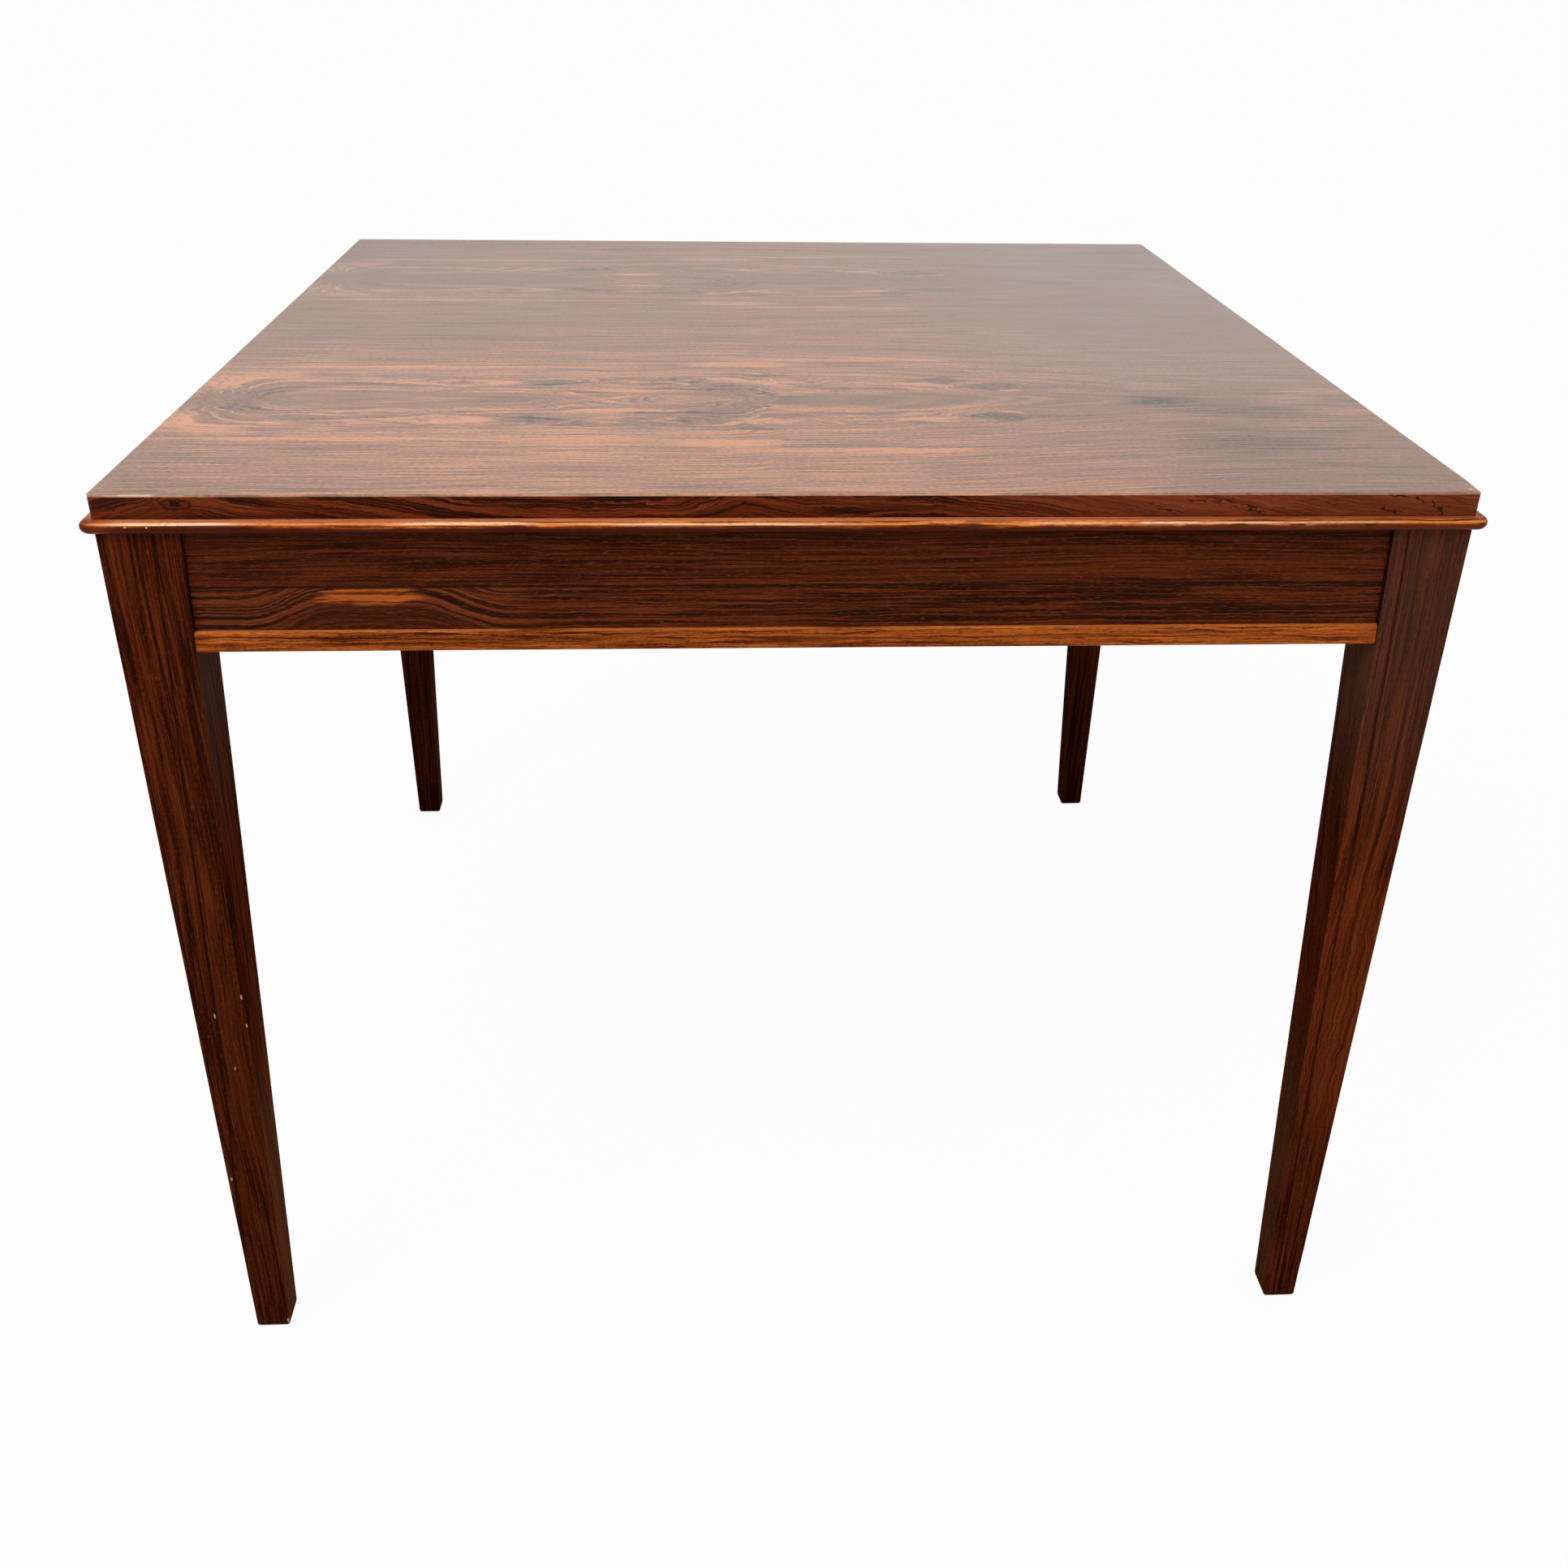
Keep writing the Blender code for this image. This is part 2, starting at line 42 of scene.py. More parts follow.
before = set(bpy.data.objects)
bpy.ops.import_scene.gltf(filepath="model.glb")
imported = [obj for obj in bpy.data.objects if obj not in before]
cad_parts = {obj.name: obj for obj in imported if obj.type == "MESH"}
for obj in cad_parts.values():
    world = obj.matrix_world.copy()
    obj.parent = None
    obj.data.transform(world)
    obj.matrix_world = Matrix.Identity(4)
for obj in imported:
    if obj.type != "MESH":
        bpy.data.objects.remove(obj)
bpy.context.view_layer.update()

MM = 0.001
MERGE = 0.00001
HAIRLINE = 0.00005        # left open between two pieces that are glued together
FLAT_RIM = 0.0006         # keeps the top's shading flat up to its arris
STATION_GAP = 0.012       # between the cross-sections of a long piece
SHARP_ANGLE = math.radians(38)
QUARTER_TURN = math.radians(90)
SIDES = ("front", "right", "back", "left")
CORNERS = {
    "front_left": (-1, -1),
    "front_right": (1, -1),
    "back_right": (1, 1),
    "back_left": (-1, 1),
}

# Sizes that the solids give
TOP_LEVEL = 0.500
TOP_REACH = 0.305         # from the middle to the lippings' outer faces
VENEER_LEVEL = 0.499      # underside of the face veneer
TOP_CORNER_RADIUS = 0.0025
BLUNT_CORNER = (0.3045, -0.3045, 0)
BLUNT_REACH = 0.014       # how far from that corner the top's arris is blunted
BLUNT_DEPTH = 0.0005
BLUNT_WIDTH = 0.0030
LIPPING_THICKNESS = 0.008
EDGE_LEVEL = 0.489
MOULDING_REACH = 0.3100
MOULDING_THICKNESS = 0.0055
MOULDING_CORNER_RADIUS = 0.0060
LEG_REACH = 0.30445       # from the middle to the legs' outer faces
LEG_TOP_LEVEL = 0.4832
LEG_TOP_WIDTH = 0.0360
LEG_FOOT_WIDTH = 0.0183
BEAD_SETBACK = 0.0009
BEAD_DEPTH = 0.0202
BEAD_LOW = 0.4256
BEAD_HIGH = 0.4355

# The photograph is square, and these are its camera's values in pixels, metres and degrees
PHOTO_SIZE = 1932
FOCAL_LENGTH = 1915.40
OPTICAL_CENTRE = (974.35, 934.60)
CAMERA_PLACE = (-0.04140, -0.95482, 0.71801)
CAMERA_YAW = 3.4482
CAMERA_PITCH = 28.1839
CAMERA_ROLL = -1.0007
SENSOR_WIDTH = 36.0

# The studio
WHITE = (1, 1, 1)
LOOKING_RAYS = ("Is Camera Ray", "Is Glossy Ray", "Is Transmission Ray")
FLOOR_RADIUS = 60.0
FLOOR_GAP = 0.0002        # keeps the floor off the feet
LAMP_PLACE = (-0.75, -1.0, 1.45)
LAMP_AIM = (0.0, -0.1, 0.45)
LAMP_SIZE = (1.0, 0.7)

# The specular level of the lacquer on the darker pieces, and its tint
DARK_SHEEN = 0.08
SHEEN_TINT = (1.0, 0.45, 0.22)

# From here to the wear, places and sizes are in millimetres
LEAF_JOINT = 152.5        # from the middle to the joints that the figure is mirrored in
ARRIS_LEVELS = (499.70, 499.95)
APRON_JOINT = 456         # level of the joint between an apron's two strips of veneer
APRON_FACE = 301          # about how far from the middle the aprons' outer faces are

# For the aprons of each grain direction: where each figure rises, and on which side of the table
APRON_HILLS = (
    ("x", ((-189, -1), (96, 1)), ("front", "back")),
    ("y", ((-70, -1), (142, 1)), ("left", "right")),
)

# The figured band of a leaf of the face veneer, along the grain from the left edge and across it
# from the joint. A zone, a patch or a smudge has its middle, its half sizes and, if it is tilted,
# its tilt in degrees, and an eye has how far the rings rise there as well. A lens or a wedge has
# its middle, its reach to both sides, half its height and how bold it is
LENSES = (
    (((128, 37), (46, 72), 13), 1.0),
    (((252, 39), (46, 38), 10), 0.8),
)
EYES = (
    (((226, 38), (40, 11)), 8),
    (((314, 38), (24, 9)), 6),
    (((416, 25), (36, 12)), 9),
)
DARK_WEDGES = (
    (((177, 38), (26, 25), 8), 1.0),
    (((254, 39), (14, 30), 9), 0.6),
    (((292, 54), (20, 26), 5), 0.4),
    (((372, 42), (18, 22), 5), 0.4),
    (((412, 31), (22, 38), 11), 1.0),
)
INNER_WEDGE = ((386, 43), (18, 22), 10)       # in the two inner leaves alone

# Even, greyish wood inside the tongue
QUIET_ZONES = (
    ((22, 2), (38, 18)),
    ((105, 2), (105, 20)),
)

# Greyer wood between the figures, and more of it in the two leaves at the back
GREY_ZONES = (
    ((348, 6), (66, 17)),
    ((430, 3), (90, 15)),
)
BACK_GREY_ZONES = (
    ((88, 4), (60, 30)),
    ((268, 6), (54, 20)),
    ((410, 4), (60, 32)),
)
ORANGE_PATCHES = (
    ((4, 42), (20, 24), 20),
    ((26, 56), (30, 15), 15),
    ((148, 38), (9, 8)),
    ((90, 70), (140, 5)),
    ((214, 38), (16, 9)),
    ((215, 21), (30, 5)),
    ((292, 40), (26, 7)),
    ((375, 37), (20, 6)),
    ((419, 24), (12, 4.5)),
    ((276, 78), (40, 10)),
    ((345, 90), (90, 6)),
    ((590, 22), (34, 9)),
)
GOLD_PATCH = ((274, 78), (32, 9))
SMUDGES = (
    ((534, 82), (56, 44), 30),
    ((545, 18), (66, 24), 10),
)

# Broad lighter and darker places of the top, from the table's middle: their middles and half
# sizes, and how much lighter they are
BROAD_ZONES = (
    (((-95, -222), (90, 30)), 0.22),
    (((-200, -20), (130, 60)), -0.08),
    (((-280, -290), (150, 110)), -0.15),
    (((-210, 290), (170, 110)), -0.08),
    (((-95, -118), (70, 32)), 0.11),
    (((200, -152), (190, 26)), -0.12),
    (((-120, -155), (60, 20)), -0.09),
    (((130, 20), (150, 90)), 0.03),
    (((-305, 250), (110, 100)), -0.10),
    (((290, 90), (120, 80)), 0.08),
    (((250, -290), (160, 40)), -0.08),
)

# Where a highlight is painted along the moulding's crest, with some rubbing there as well: the middle along
# it, half the length, and how light
CREST_GLINTS = (
    ((-266, 38), 1.0),
    ((-146, 36), 1.0),
    ((-35, 74), 0.75),
    ((125, 30), 0.5),
    ((166, 20), 1.0),
    ((198, 30), 0.75),
    ((240, 40), 0.4),
)

# Dark blots on the moulding's front, along it and upwards
NOSE_BLOTS = (
    ((-243, 486.7), (11, 0.5)),
    ((66, 486.9), (32, 1.2)),
    ((195.5, 487.0), (6, 0.6)),
    ((222, 486.9), (6, 0.6)),
    ((254, 486.8), (5, 0.8)),
)

# The lippings' knot, the lighter wood under it, and the cracks near the other end: middle, half
# sizes and tilt, along the lipping and upwards
KNOT = ((-268, 495.6), (9, 3.4))
UNDER_KNOT = ((-282, 491.5), (34, 3.6))
CRACKS = (
    ((164, 491.8), (9, 0.55), -14),
    ((176, 496.4), (6, 0.5), -10),
    ((189, 496.0), (8, 0.6), -8),
    ((201, 492.7), (7.5, 0.75), -23),
    ((236, 495.3), (5, 0.45), -12),
    ((264, 492.0), (9, 0.5), -14),
    ((267, 498.6), (9, 0.5), -5),
    ((278, 496.7), (4.5, 0.6), -30),
    ((284, 494.4), (4, 0.6), -30),
    ((287.5, 491.3), (3.6, 0.6), -52),
)

# Marks of wear, with their middles, half sizes and tilt in the plane that they are seen in
TOP_SCRATCH = ((176.5, 276), (1.1, 5), 10)
TOP_CHIPS = (
    ((301.5, -300.6), (2.2, 1.6)),
    ((-284, -304.8), (11, 0.7)),
)
LEG_NICKS = (
    ((-294, 223.5), (0.6, 2.4)),
    ((-279, 235), (0.7, 2.4)),
    ((-279, 217), (0.6, 1.8)),
    ((-289, 189.5), (0.5, 1.6)),
    ((-302.3, 113.5), (0.7, 1.8)),
    ((-286.6, 5), (0.8, 3)),
)
MOULDING_NICKS = (
    ((-289, 487.2), (0.8, 0.5)),
    ((-280, 487.1), (0.6, 0.6)),
)


# Settings that a user may change


def colour_setting(name, description, default):
    """A colour that a user may change."""
    return FloatVectorProperty(
        name=name, description=description, default=default, subtype="COLOR", min=0, max=1
    )


def size_setting(name, description, default):
    """A length that a user may change."""
    return FloatProperty(
        name=name, description=description, default=default, subtype="DISTANCE", unit="LENGTH"
    )


class RosewoodColours(bpy.types.PropertyGroup):
    """The colours of the table's woods and metal."""

    ink: colour_setting("Ink lines", "The darkest growth lines and the open pores", (0.012, 0.0035, 0.002))
    # Painted sheen: this grey is painted near the tops of the legs for the lacquer's sheen
    painted_sheen_grey: colour_setting("Greyish wood", "Greyish wood near the tops of the legs", (0.100, 0.060, 0.042))
    murk: colour_setting("Top dark", "Dark wood in the figure of the top", (0.200, 0.088, 0.036))
    heartwood: colour_setting("Top heartwood", "The darker of the top's two browns", (0.262, 0.108, 0.050))
    brown: colour_setting("Top brown", "The lighter of the top's two browns", (0.388, 0.170, 0.088))
    orange: colour_setting("Top orange", "Orange streaks and patches of the top", (0.680, 0.262, 0.104))
    # Painted reflection: this milky haze is painted on the back right of the top for the pale surroundings
    # that it reflects
    reflected_haze: colour_setting("Bloom", "Faint milky haze in the lacquer of the top", (0.800, 0.800, 0.800))
    frame_dark: colour_setting("Leg dark", "Dark bands of legs and aprons", (0.034, 0.0048, 0.0014))
    frame_light: colour_setting("Leg light", "Lighter bands of legs and aprons", (0.128, 0.0245, 0.0062))
    edge_dark: colour_setting("Edge dark", "Dark bands of the lippings", (0.038, 0.0052, 0.0016))
    edge_light: colour_setting("Edge light", "Lighter bands of the lippings", (0.185, 0.032, 0.0085))
    edge_pale: colour_setting("Edge pale", "Pale wood round the lippings' cracks", (0.270, 0.058, 0.020))
    nose_dark: colour_setting("Moulding dark", "Dark bands of the moulding", (0.340, 0.068, 0.014))
    # Wood, and also painted light: the moulding's crest and ledge and the beads' upper arrises get this
    # colour
    nose_light: colour_setting("Moulding light", "Lighter bands of the moulding", (0.780, 0.240, 0.055))
    # Partly painted light: the ledge faces up, and this colour is lighter than the wood below it
    ledge_wood_and_light: colour_setting("Moulding top", "The upper ledge of the moulding", (0.580, 0.180, 0.085))
    bead_dark: colour_setting("Bead dark", "Dark bands of the beads", (0.150, 0.028, 0.0050))
    bead_light: colour_setting("Bead light", "Lighter bands of the beads", (0.530, 0.120, 0.018))
    # Painted highlight: the crest of the moulding gets this colour where its highlight is painted, with
    # some rubbing too
    rub_and_glint: colour_setting("Rubbed moulding", "The moulding's crest, rubbed light", (1.000, 0.700, 0.430))
    # Wear, and also a painted highlight: the top's whole arris gets this colour, as do the chips and the
    # nicks
    wear_and_glint: colour_setting("Worn wood", "Bare wood where an arris is worn", (0.620, 0.380, 0.230))
    beech: colour_setting("Beech", "The corner blocks and dowels", (0.560, 0.380, 0.220))
    backing: colour_setting("Backing veneer", "The sheet under the board", (0.240, 0.110, 0.055))
    board: colour_setting("Board", "The board's core of pressed chips", (0.500, 0.350, 0.200))
    steel: colour_setting("Steel", "The screws", (0.440, 0.420, 0.390))


class TableTrim(bpy.types.PropertyGroup):
    """Small sizes that the solids leave plain."""

    veneer_arris: size_setting("Top arris", "Rounding of the top's upper arris", 0.00035)
    lipping_arris: size_setting("Lipping arris", "Rounding of the lippings' lower arris", 0.0003)
    leg_arris: size_setting("Leg arris", "Rounding of the legs' arrises", 0.0010)
    foot_easing: size_setting("Foot easing", "Rounding of the legs' lower ends", 0.0030)
    bead_arris: size_setting("Bead arris", "Rounding of the beads' outer arrises", 0.0012)
    hand_shaping: size_setting("Hand shaping", "How far the moulding's nose wanders", 0.00012)


class Studio(bpy.types.PropertyGroup):
    """The light and the floor."""

    ambient: FloatProperty(name="Ambient light", description="Light from all round", default=0.62, min=0)
    lamp_power: FloatProperty(
        name="Lamp", description="Power of the soft lamp", default=11, min=0, unit="POWER"
    )
    floor: colour_setting("Floor", "The floor's own colour", (0.90, 0.90, 0.90))
    floor_shadow: FloatProperty(
        name="Shadow", description="How much light and shadow show on it", default=0.05, min=0, max=1
    )


# Values and nodes of a material


class Value:
    """A socket's value. Arithmetic on it adds the Math nodes that work it out."""

    def __init__(self, shader, socket):
        self.shader = shader
        self.socket = socket

    def __add__(self, other):
        return self.shader.math("ADD", self, other)

    __radd__ = __add__

    def __sub__(self, other):
        return self.shader.math("SUBTRACT", self, other)

    def __rsub__(self, other):
        return self.shader.math("SUBTRACT", other, self)

    def __mul__(self, other):
        return self.shader.math("MULTIPLY", self, other)

    __rmul__ = __mul__

    def __truediv__(self, other):
        return self.shader.math("DIVIDE", self, other)

    def __rtruediv__(self, other):
        return self.shader.math("DIVIDE", other, self)

    def __abs__(self):
        return self.shader.math("ABSOLUTE", self)


class Shader:
    """A node tree that is filled from expressions."""

    def __init__(self, tree):
        self.tree = tree
        tree.nodes.clear()

    def node(self, kind, settings=(), sockets=(), out=0):
        """Adds a node. Its settings are set first, then its sockets, from values or from links."""
        made = self.tree.nodes.new(kind)
        for name, setting in dict(settings).items():
            if name == "stops":
                for element, (place, colour) in zip(self.ramp_elements(made, len(setting)), setting):
                    element.position = place
                    element.color = (*colour, 1)
            else:
                setattr(made, name, setting)
        for name, value in dict(sockets).items():
            socket = made.inputs[name]
            if isinstance(value, Value):
                self.tree.links.new(value.socket, socket)
            elif socket.type == "RGBA":
                socket.default_value = (*value[:3], 1)
            else:
                socket.default_value = value
        return Value(self, made.outputs[out]) if made.outputs else made

    @staticmethod
    def ramp_elements(ramp_node, count):
        """The stops of a colour ramp, made as many as asked for."""
        elements = ramp_node.color_ramp.elements
        while len(elements) < count:
            elements.new(0.5)
        return elements

    def math(self, operation, *values):
        return self.node("ShaderNodeMath", {"operation": operation}, dict(enumerate(values)))

    def largest(self, first, *others):
        for other in others:
            first = self.math("MAXIMUM", first, other)
        return first

    def step(self, value, low, high):
        """0 below low, 1 above high, and smooth between them."""
        return self.node(
            "ShaderNodeMapRange",
            {"interpolation_type": "SMOOTHSTEP"},
            {"Value": value, "From Min": low, "From Max": high},
        )

    def fade(self, value, low, high):
        """1 below low, 0 above high, and smooth between them."""
        return 1 - self.step(value, low, high)

    def between(self, value, rise, fall):
        """0, then 1 after the rise, then 0 again after the fall. Each has its low and its high end."""
        return self.step(value, *rise) * self.fade(value, *fall)

    def hump(self, value, middle, reach):
        """1 at the middle, and less the nearer the reach to either side, beyond which it is 0."""
        return self.largest(1 - abs(value - middle) / reach, 0)

    def vector(self, x, y=0.0, z=0.0):
        return self.node("ShaderNodeCombineXYZ", (), {"X": x, "Y": y, "Z": z})

    def noise(self, x, y=0.0, z=0.0, detail=2.0, rough=0.5):
        """Smooth noise, mostly between 0.3 and 0.7, with features about one unit across."""
        return self.node(
            "ShaderNodeTexNoise",
            {"noise_dimensions": "3D"},
            {"Vector": self.vector(x, y, z), "Scale": 1.0, "Detail": detail, "Roughness": rough},
        )

    def ramp(self, value, stops):
        """The colour that a value has between the stops, which are places with their colours."""
        return self.node("ShaderNodeValToRGB", {"stops": stops}, {"Fac": value})

    def mix(self, factor, first, second):
        """A blend of two colours."""
        return self.node("ShaderNodeMix", {"data_type": "RGBA"}, {0: factor, 6: first, 7: second}, out=2)

    def over(self, colour, *layers):
        """A colour with others laid over it in order, each as densely as its mask says."""
        for mask, layer in layers:
            colour = self.mix(mask, colour, layer)
        return colour

    def shade(self, colour, factor):
        """A colour made darker or lighter by a factor that varies over the surface."""
        return self.node("ShaderNodeVectorMath", {"operation": "SCALE"}, {0: colour, "Scale": factor})

    def spot(self, place, middle, size, tilt=0.0):
        """1 round the middle of an ellipse and 0 from its rim outwards."""
        return self.step(self.cone(place, middle, size, tilt), 0, 0.7)

    def lens(self, along, across, middle, reach, height):
        """1 in the middle of a lens with pointed ends, and 0 from its rim outwards."""
        left, right = reach
        offset = along - middle[0]
        share = self.largest(offset / right, offset / -left) + abs(across - middle[1]) / height
        return self.largest(1 - share, 0)

    def lenses(self, along, across, several):
        """The highest of some lenses, each as high as it is bold."""
        return self.largest(*[self.lens(along, across, *one) * bold for one, bold in several])

    def cone(self, place, middle, size, tilt=0.0):
        """1 in the middle of an ellipse, and less the nearer its rim, outside which it is 0."""
        moved = self.node(
            "ShaderNodeMapping",
            {"vector_type": "TEXTURE"},
            {
                "Vector": place,
                "Location": (*middle, 0),
                "Rotation": (0, 0, math.radians(tilt)),
                "Scale": (*size, 1),
            },
        )
        return self.node("ShaderNodeTexGradient", {"gradient_type": "SPHERICAL"}, {"Vector": moved}, out=1)

    def cones(self, place, several):
        """The highest of some cones."""
        return self.largest(*[self.cone(place, *one) for one in several])

    def spots(self, place, several):
        """The union of some ellipses."""
        return self.largest(*[self.spot(place, *one) for one in several])

    def position(self):
        """The place on the table, in millimetres, as three values."""
        place = self.node("ShaderNodeTexCoord", out=3)
        split = self.node("ShaderNodeSeparateXYZ", (), {0: place})
        return [Value(self, socket) * 1000 for socket in split.socket.node.outputs]


def finish(name, look, roughness, specular=0.5, tint=WHITE, metallic=0.0):
    """A material. The look gives its colour, its change in roughness and its relief in millimetres."""
    material = bpy.data.materials.new(name)
    material.use_nodes = True
    shader = Shader(material.node_tree)
    colour, dullness, height = look(shader)
    relief = shader.node("ShaderNodeBump", (), {"Strength": 1.0, "Distance": MM, "Height": height})
    lacquer = shader.node(
        "ShaderNodeBsdfPrincipled",
        (),
        {
            "Base Color": colour,
            "Roughness": dullness + roughness,
            "Metallic": metallic,
            "Specular IOR Level": specular,
            "Specular Tint": tint,
            "Normal": relief,
        },
    )
    shader.node("ShaderNodeOutputMaterial", (), {"Surface": lacquer})
    return material


# Woods


def pores(shader, along, across, depth, length=5.0, width=0.25):
    """Short fine dashes where the open pores were cut, 0 to 1."""
    dashes = shader.noise(along / length, across / width, depth / width, detail=1.0)
    return shader.step(dashes, 0.60, 0.70)


def along_grain(shader, grain):
    """The place along the grain, across it and up, for wood whose grain runs along x or y."""
    x, y, z = shader.position()
    return (x, y, z) if grain == "x" else (y, x, z)


def touch(change, dashes, dents=0.0):
    """How dull the wood is where it is dark or has pores, and how deep those lie."""
    return change * -0.1 + dashes * 0.1, change * 0.01 - dashes * 0.03 - dents


def rosewood(shader, rings, along, ink, dark, light, strength, inking=0.6):
    """Growth lines that follow the rings: their colour, and how much lighter they are than the rest."""
    wide = shader.noise(rings / 7.5, along / 420, 3.0) - 0.5
    line = shader.noise(rings / 2.1, along / 230, 6.0, detail=2.0) - 0.5
    hair = shader.noise(rings / 0.7, along / 45, 9.0, detail=1.0) - 0.5
    grit = shader.noise(rings / 0.9, along / 1.6, 18.0, detail=1.0) - 0.5
    tone = (wide * 0.8 + line * 1.3 + hair * 1.9) * strength + grit * 0.35 + 0.52
    between = [dark[i] * 0.45 + light[i] * 0.55 for i in range(3)]
    colour = shader.ramp(tone, ((0.05, ink), (0.30, dark), (0.58, between), (0.95, light)))
    crossing = abs(shader.noise(rings / 3.6, along / 320, 12.0, detail=1.0) - 0.5)
    strong = shader.step(shader.noise(rings / 7, along / 150, 15.0), 0.40, 0.62)
    inked = shader.fade(crossing, 0.015, 0.06) * (strong * 0.75 + 0.25)
    return shader.mix(inked * inking, colour, ink), line + wide - inked * 0.3


def top_figure(colours):
    """The face veneer: four book-matched leaves, each with a figured band along its joint."""

    def look(shader):
        x, y, z = shader.position()
        plan = shader.vector(x, y)
        leaf = shader.math("FLOOR", y / LEAF_JOINT + 2)
        inner = shader.fade(abs(y), LEAF_JOINT - 0.1, LEAF_JOINT + 0.1)
        from_joint = abs(abs(y) - LEAF_JOINT)
        across = from_joint + inner * shader.step(from_joint, 2, 22) * 5
        along = x + TOP_REACH / MM - inner * 6
        drift = leaf * 0.14

        # How far the growth rings wander, most of all in the figured band
        plain = shader.step(along, 330, 540)
        band = shader.fade(across, 42, 66) * (1 - plain)
        sway = shader.noise(along / 190, across / 60, drift, detail=1.0) - 0.5
        ripple = shader.noise(along / 30, across / 11, drift + 4, detail=1.5) - 0.5
        tremble = shader.noise(along / 8, across / 5, drift + 7, detail=1.0) - 0.5
        warped = across + sway * (8 + band * 6) + ripple * (1.6 + band * 9) + tremble * (0.5 + band * 3)
        run = along + ripple * 30 + tremble * 8

        # The tongue along the joint: its rings close at both ends and at a waist between two lobes
        left_end = shader.largest(46 - run, 0) * shader.fade(across, 26, 62) * 1.1
        right_end = shader.math("MINIMUM", shader.largest(run - 268, 0) * 0.8, 24)
        waist = shader.hump(run, 208, 42) * 9
        lift = left_end + right_end + waist + 4
        far = shader.math("SQRT", warped * warped + lift * lift)

        # Past the tongue the rings lie nearly flat, and rise in lenses and eyes
        flat = shader.math("MINIMUM", shader.largest(far - 17, 0), 30) * (1 - plain) * 0.62
        place = shader.vector(along + ripple * 14, across + tremble * 5)
        lens_place = along + ripple * 18, across + ripple * 3 + tremble * 3
        pointed = shader.lenses(*lens_place, LENSES)
        eye = shader.largest(pointed * 5, *[shader.cone(place, *one) * rise for one, rise in EYES])
        rings = far - flat + eye

        # Growth lines, pores and grit
        line = shader.noise(rings / 2.3, along / 380, drift, detail=2.0)
        pair = shader.noise(rings / 7, along / 260, drift + 1, detail=1.0) - 0.5
        dark_line = shader.fade(abs(pair), 0.008, 0.035)
        light_line = shader.fade(abs(pair - 0.045), 0.008, 0.030)
        fine = shader.noise(rings, along / 60, drift + 9)
        wide = shader.noise(rings / 13, along / 160, drift + 2)
        streak = shader.noise(rings / 1.8, along / 30, drift + 5)
        cloud = shader.noise(along / 60, across / 22, leaf, detail=3.0)
        dashes = pores(shader, along, y, z, 6.0, 0.4)
        grit = shader.noise(along / 2.4, from_joint / 1.5, leaf, detail=1.0)

        # The marks of the figure: orange patches, dark wedges, the rings of the lenses and a thin line
        warm = shader.spots(place, ORANGE_PATCHES)
        inner_wedge = shader.lens(*lens_place, *INNER_WEDGE) * inner
        wedge = shader.largest(shader.lenses(*lens_place, DARK_WEDGES), inner_wedge)
        murky = shader.step(wedge + (streak - 0.5) * 0.3, 0.04, 0.34)
        rim = shader.between(wedge, (0, 0.05), (0.05, 0.15))
        outline = shader.between(pointed, (0, 0.08), (0.22, 0.36))
        pale_ring = shader.between(pointed, (0.30, 0.42), (0.55, 0.70))
        pupil = shader.step(pointed, 0.66, 0.82)
        turned = shader.fade(along, 26, 62) * shader.between(far, (12, 19), (27, 40))
        thin_line = shader.fade(abs(warped - 80.5 - along * 0.01), 0.3, 1.3)

        # Quieter, smudged and greyer places
        quiet = shader.step(shader.cones(place, QUIET_ZONES), 0, 0.5)
        calm = shader.step(along, 285, 320) * shader.fade(across, 8, 20) * (1 - plain)
        calm = shader.largest(calm, quiet)
        smudge = shader.spots(place, SMUDGES) * shader.step(cloud * 0.7 + streak * 0.3, 0.30, 0.56)
        smudge = smudge * shader.fade(y, -170, -140)
        back_grey = shader.cones(place, BACK_GREY_ZONES) * shader.step(y, -5, 5)
        grey = shader.largest(shader.cones(place, GREY_ZONES), back_grey)

        # How light the wood is, first from its lines and marks
        outside = shader.step(far, 10, 24) * 0.7 + 0.3
        figure = shader.step(along, 10, 75) * 0.5 + 0.5 - shader.step(along, 280, 330) * 0.6
        figure = band * outside * figure + eye * 0.025
        tone = (line - 0.5) * (0.40 + figure * 0.54) + (wide - 0.5) * 0.20 + (streak - 0.5) * 0.42
        tone = tone + (fine - 0.5) * 1.45 + (light_line - dark_line) * (figure * 0.14 + 0.035) + rim * 0.08
        tone = tone + (cloud - 0.5) * 0.3 + warm * (0.05 + streak * 0.28 + fine * 0.26) - turned * 0.12
        tone = tone * (1 - shader.largest(murky, pale_ring, outline * 0.8) * 0.5)
        tone = tone - murky * 0.33 - outline * 0.13 + pale_ring * 0.13 - pupil * 0.15
        tone = tone + shader.spot(place, *GOLD_PATCH) * 0.10
        tone = tone - thin_line * 0.20 - dashes * 0.14 + (grit - 0.5) * 0.60

        # Then from its broad changes: fainter towards the back and the right, darker at the back
        distant = shader.step(y, -130, 40)
        tone = tone * (1.25 - distant * 0.50 - plain * 0.32 - calm * 0.6) - grey * 0.09 - quiet * 0.13
        for zone, lightness in BROAD_ZONES:
            tone = tone + shader.cone(plan, *zone) * lightness
        tone = tone - smudge * 0.22 - plain * 0.145 - shader.step(along, 440, 580) * 0.05
        tone = tone + 0.51 + shader.step(x, -305, -215) * 0.09
        tone = tone + shader.fade(y, -300, -205) * (1 - plain) * 0.035
        tone = tone - shader.step(y, -130, 60) * 0.135 - shader.step(y, 150, 300) * 0.035
        stops = (
            (0.0, colours.ink),
            (0.22, colours.murk),
            (0.43, colours.heartwood),
            (0.62, colours.brown),
            (0.96, colours.orange),
        )
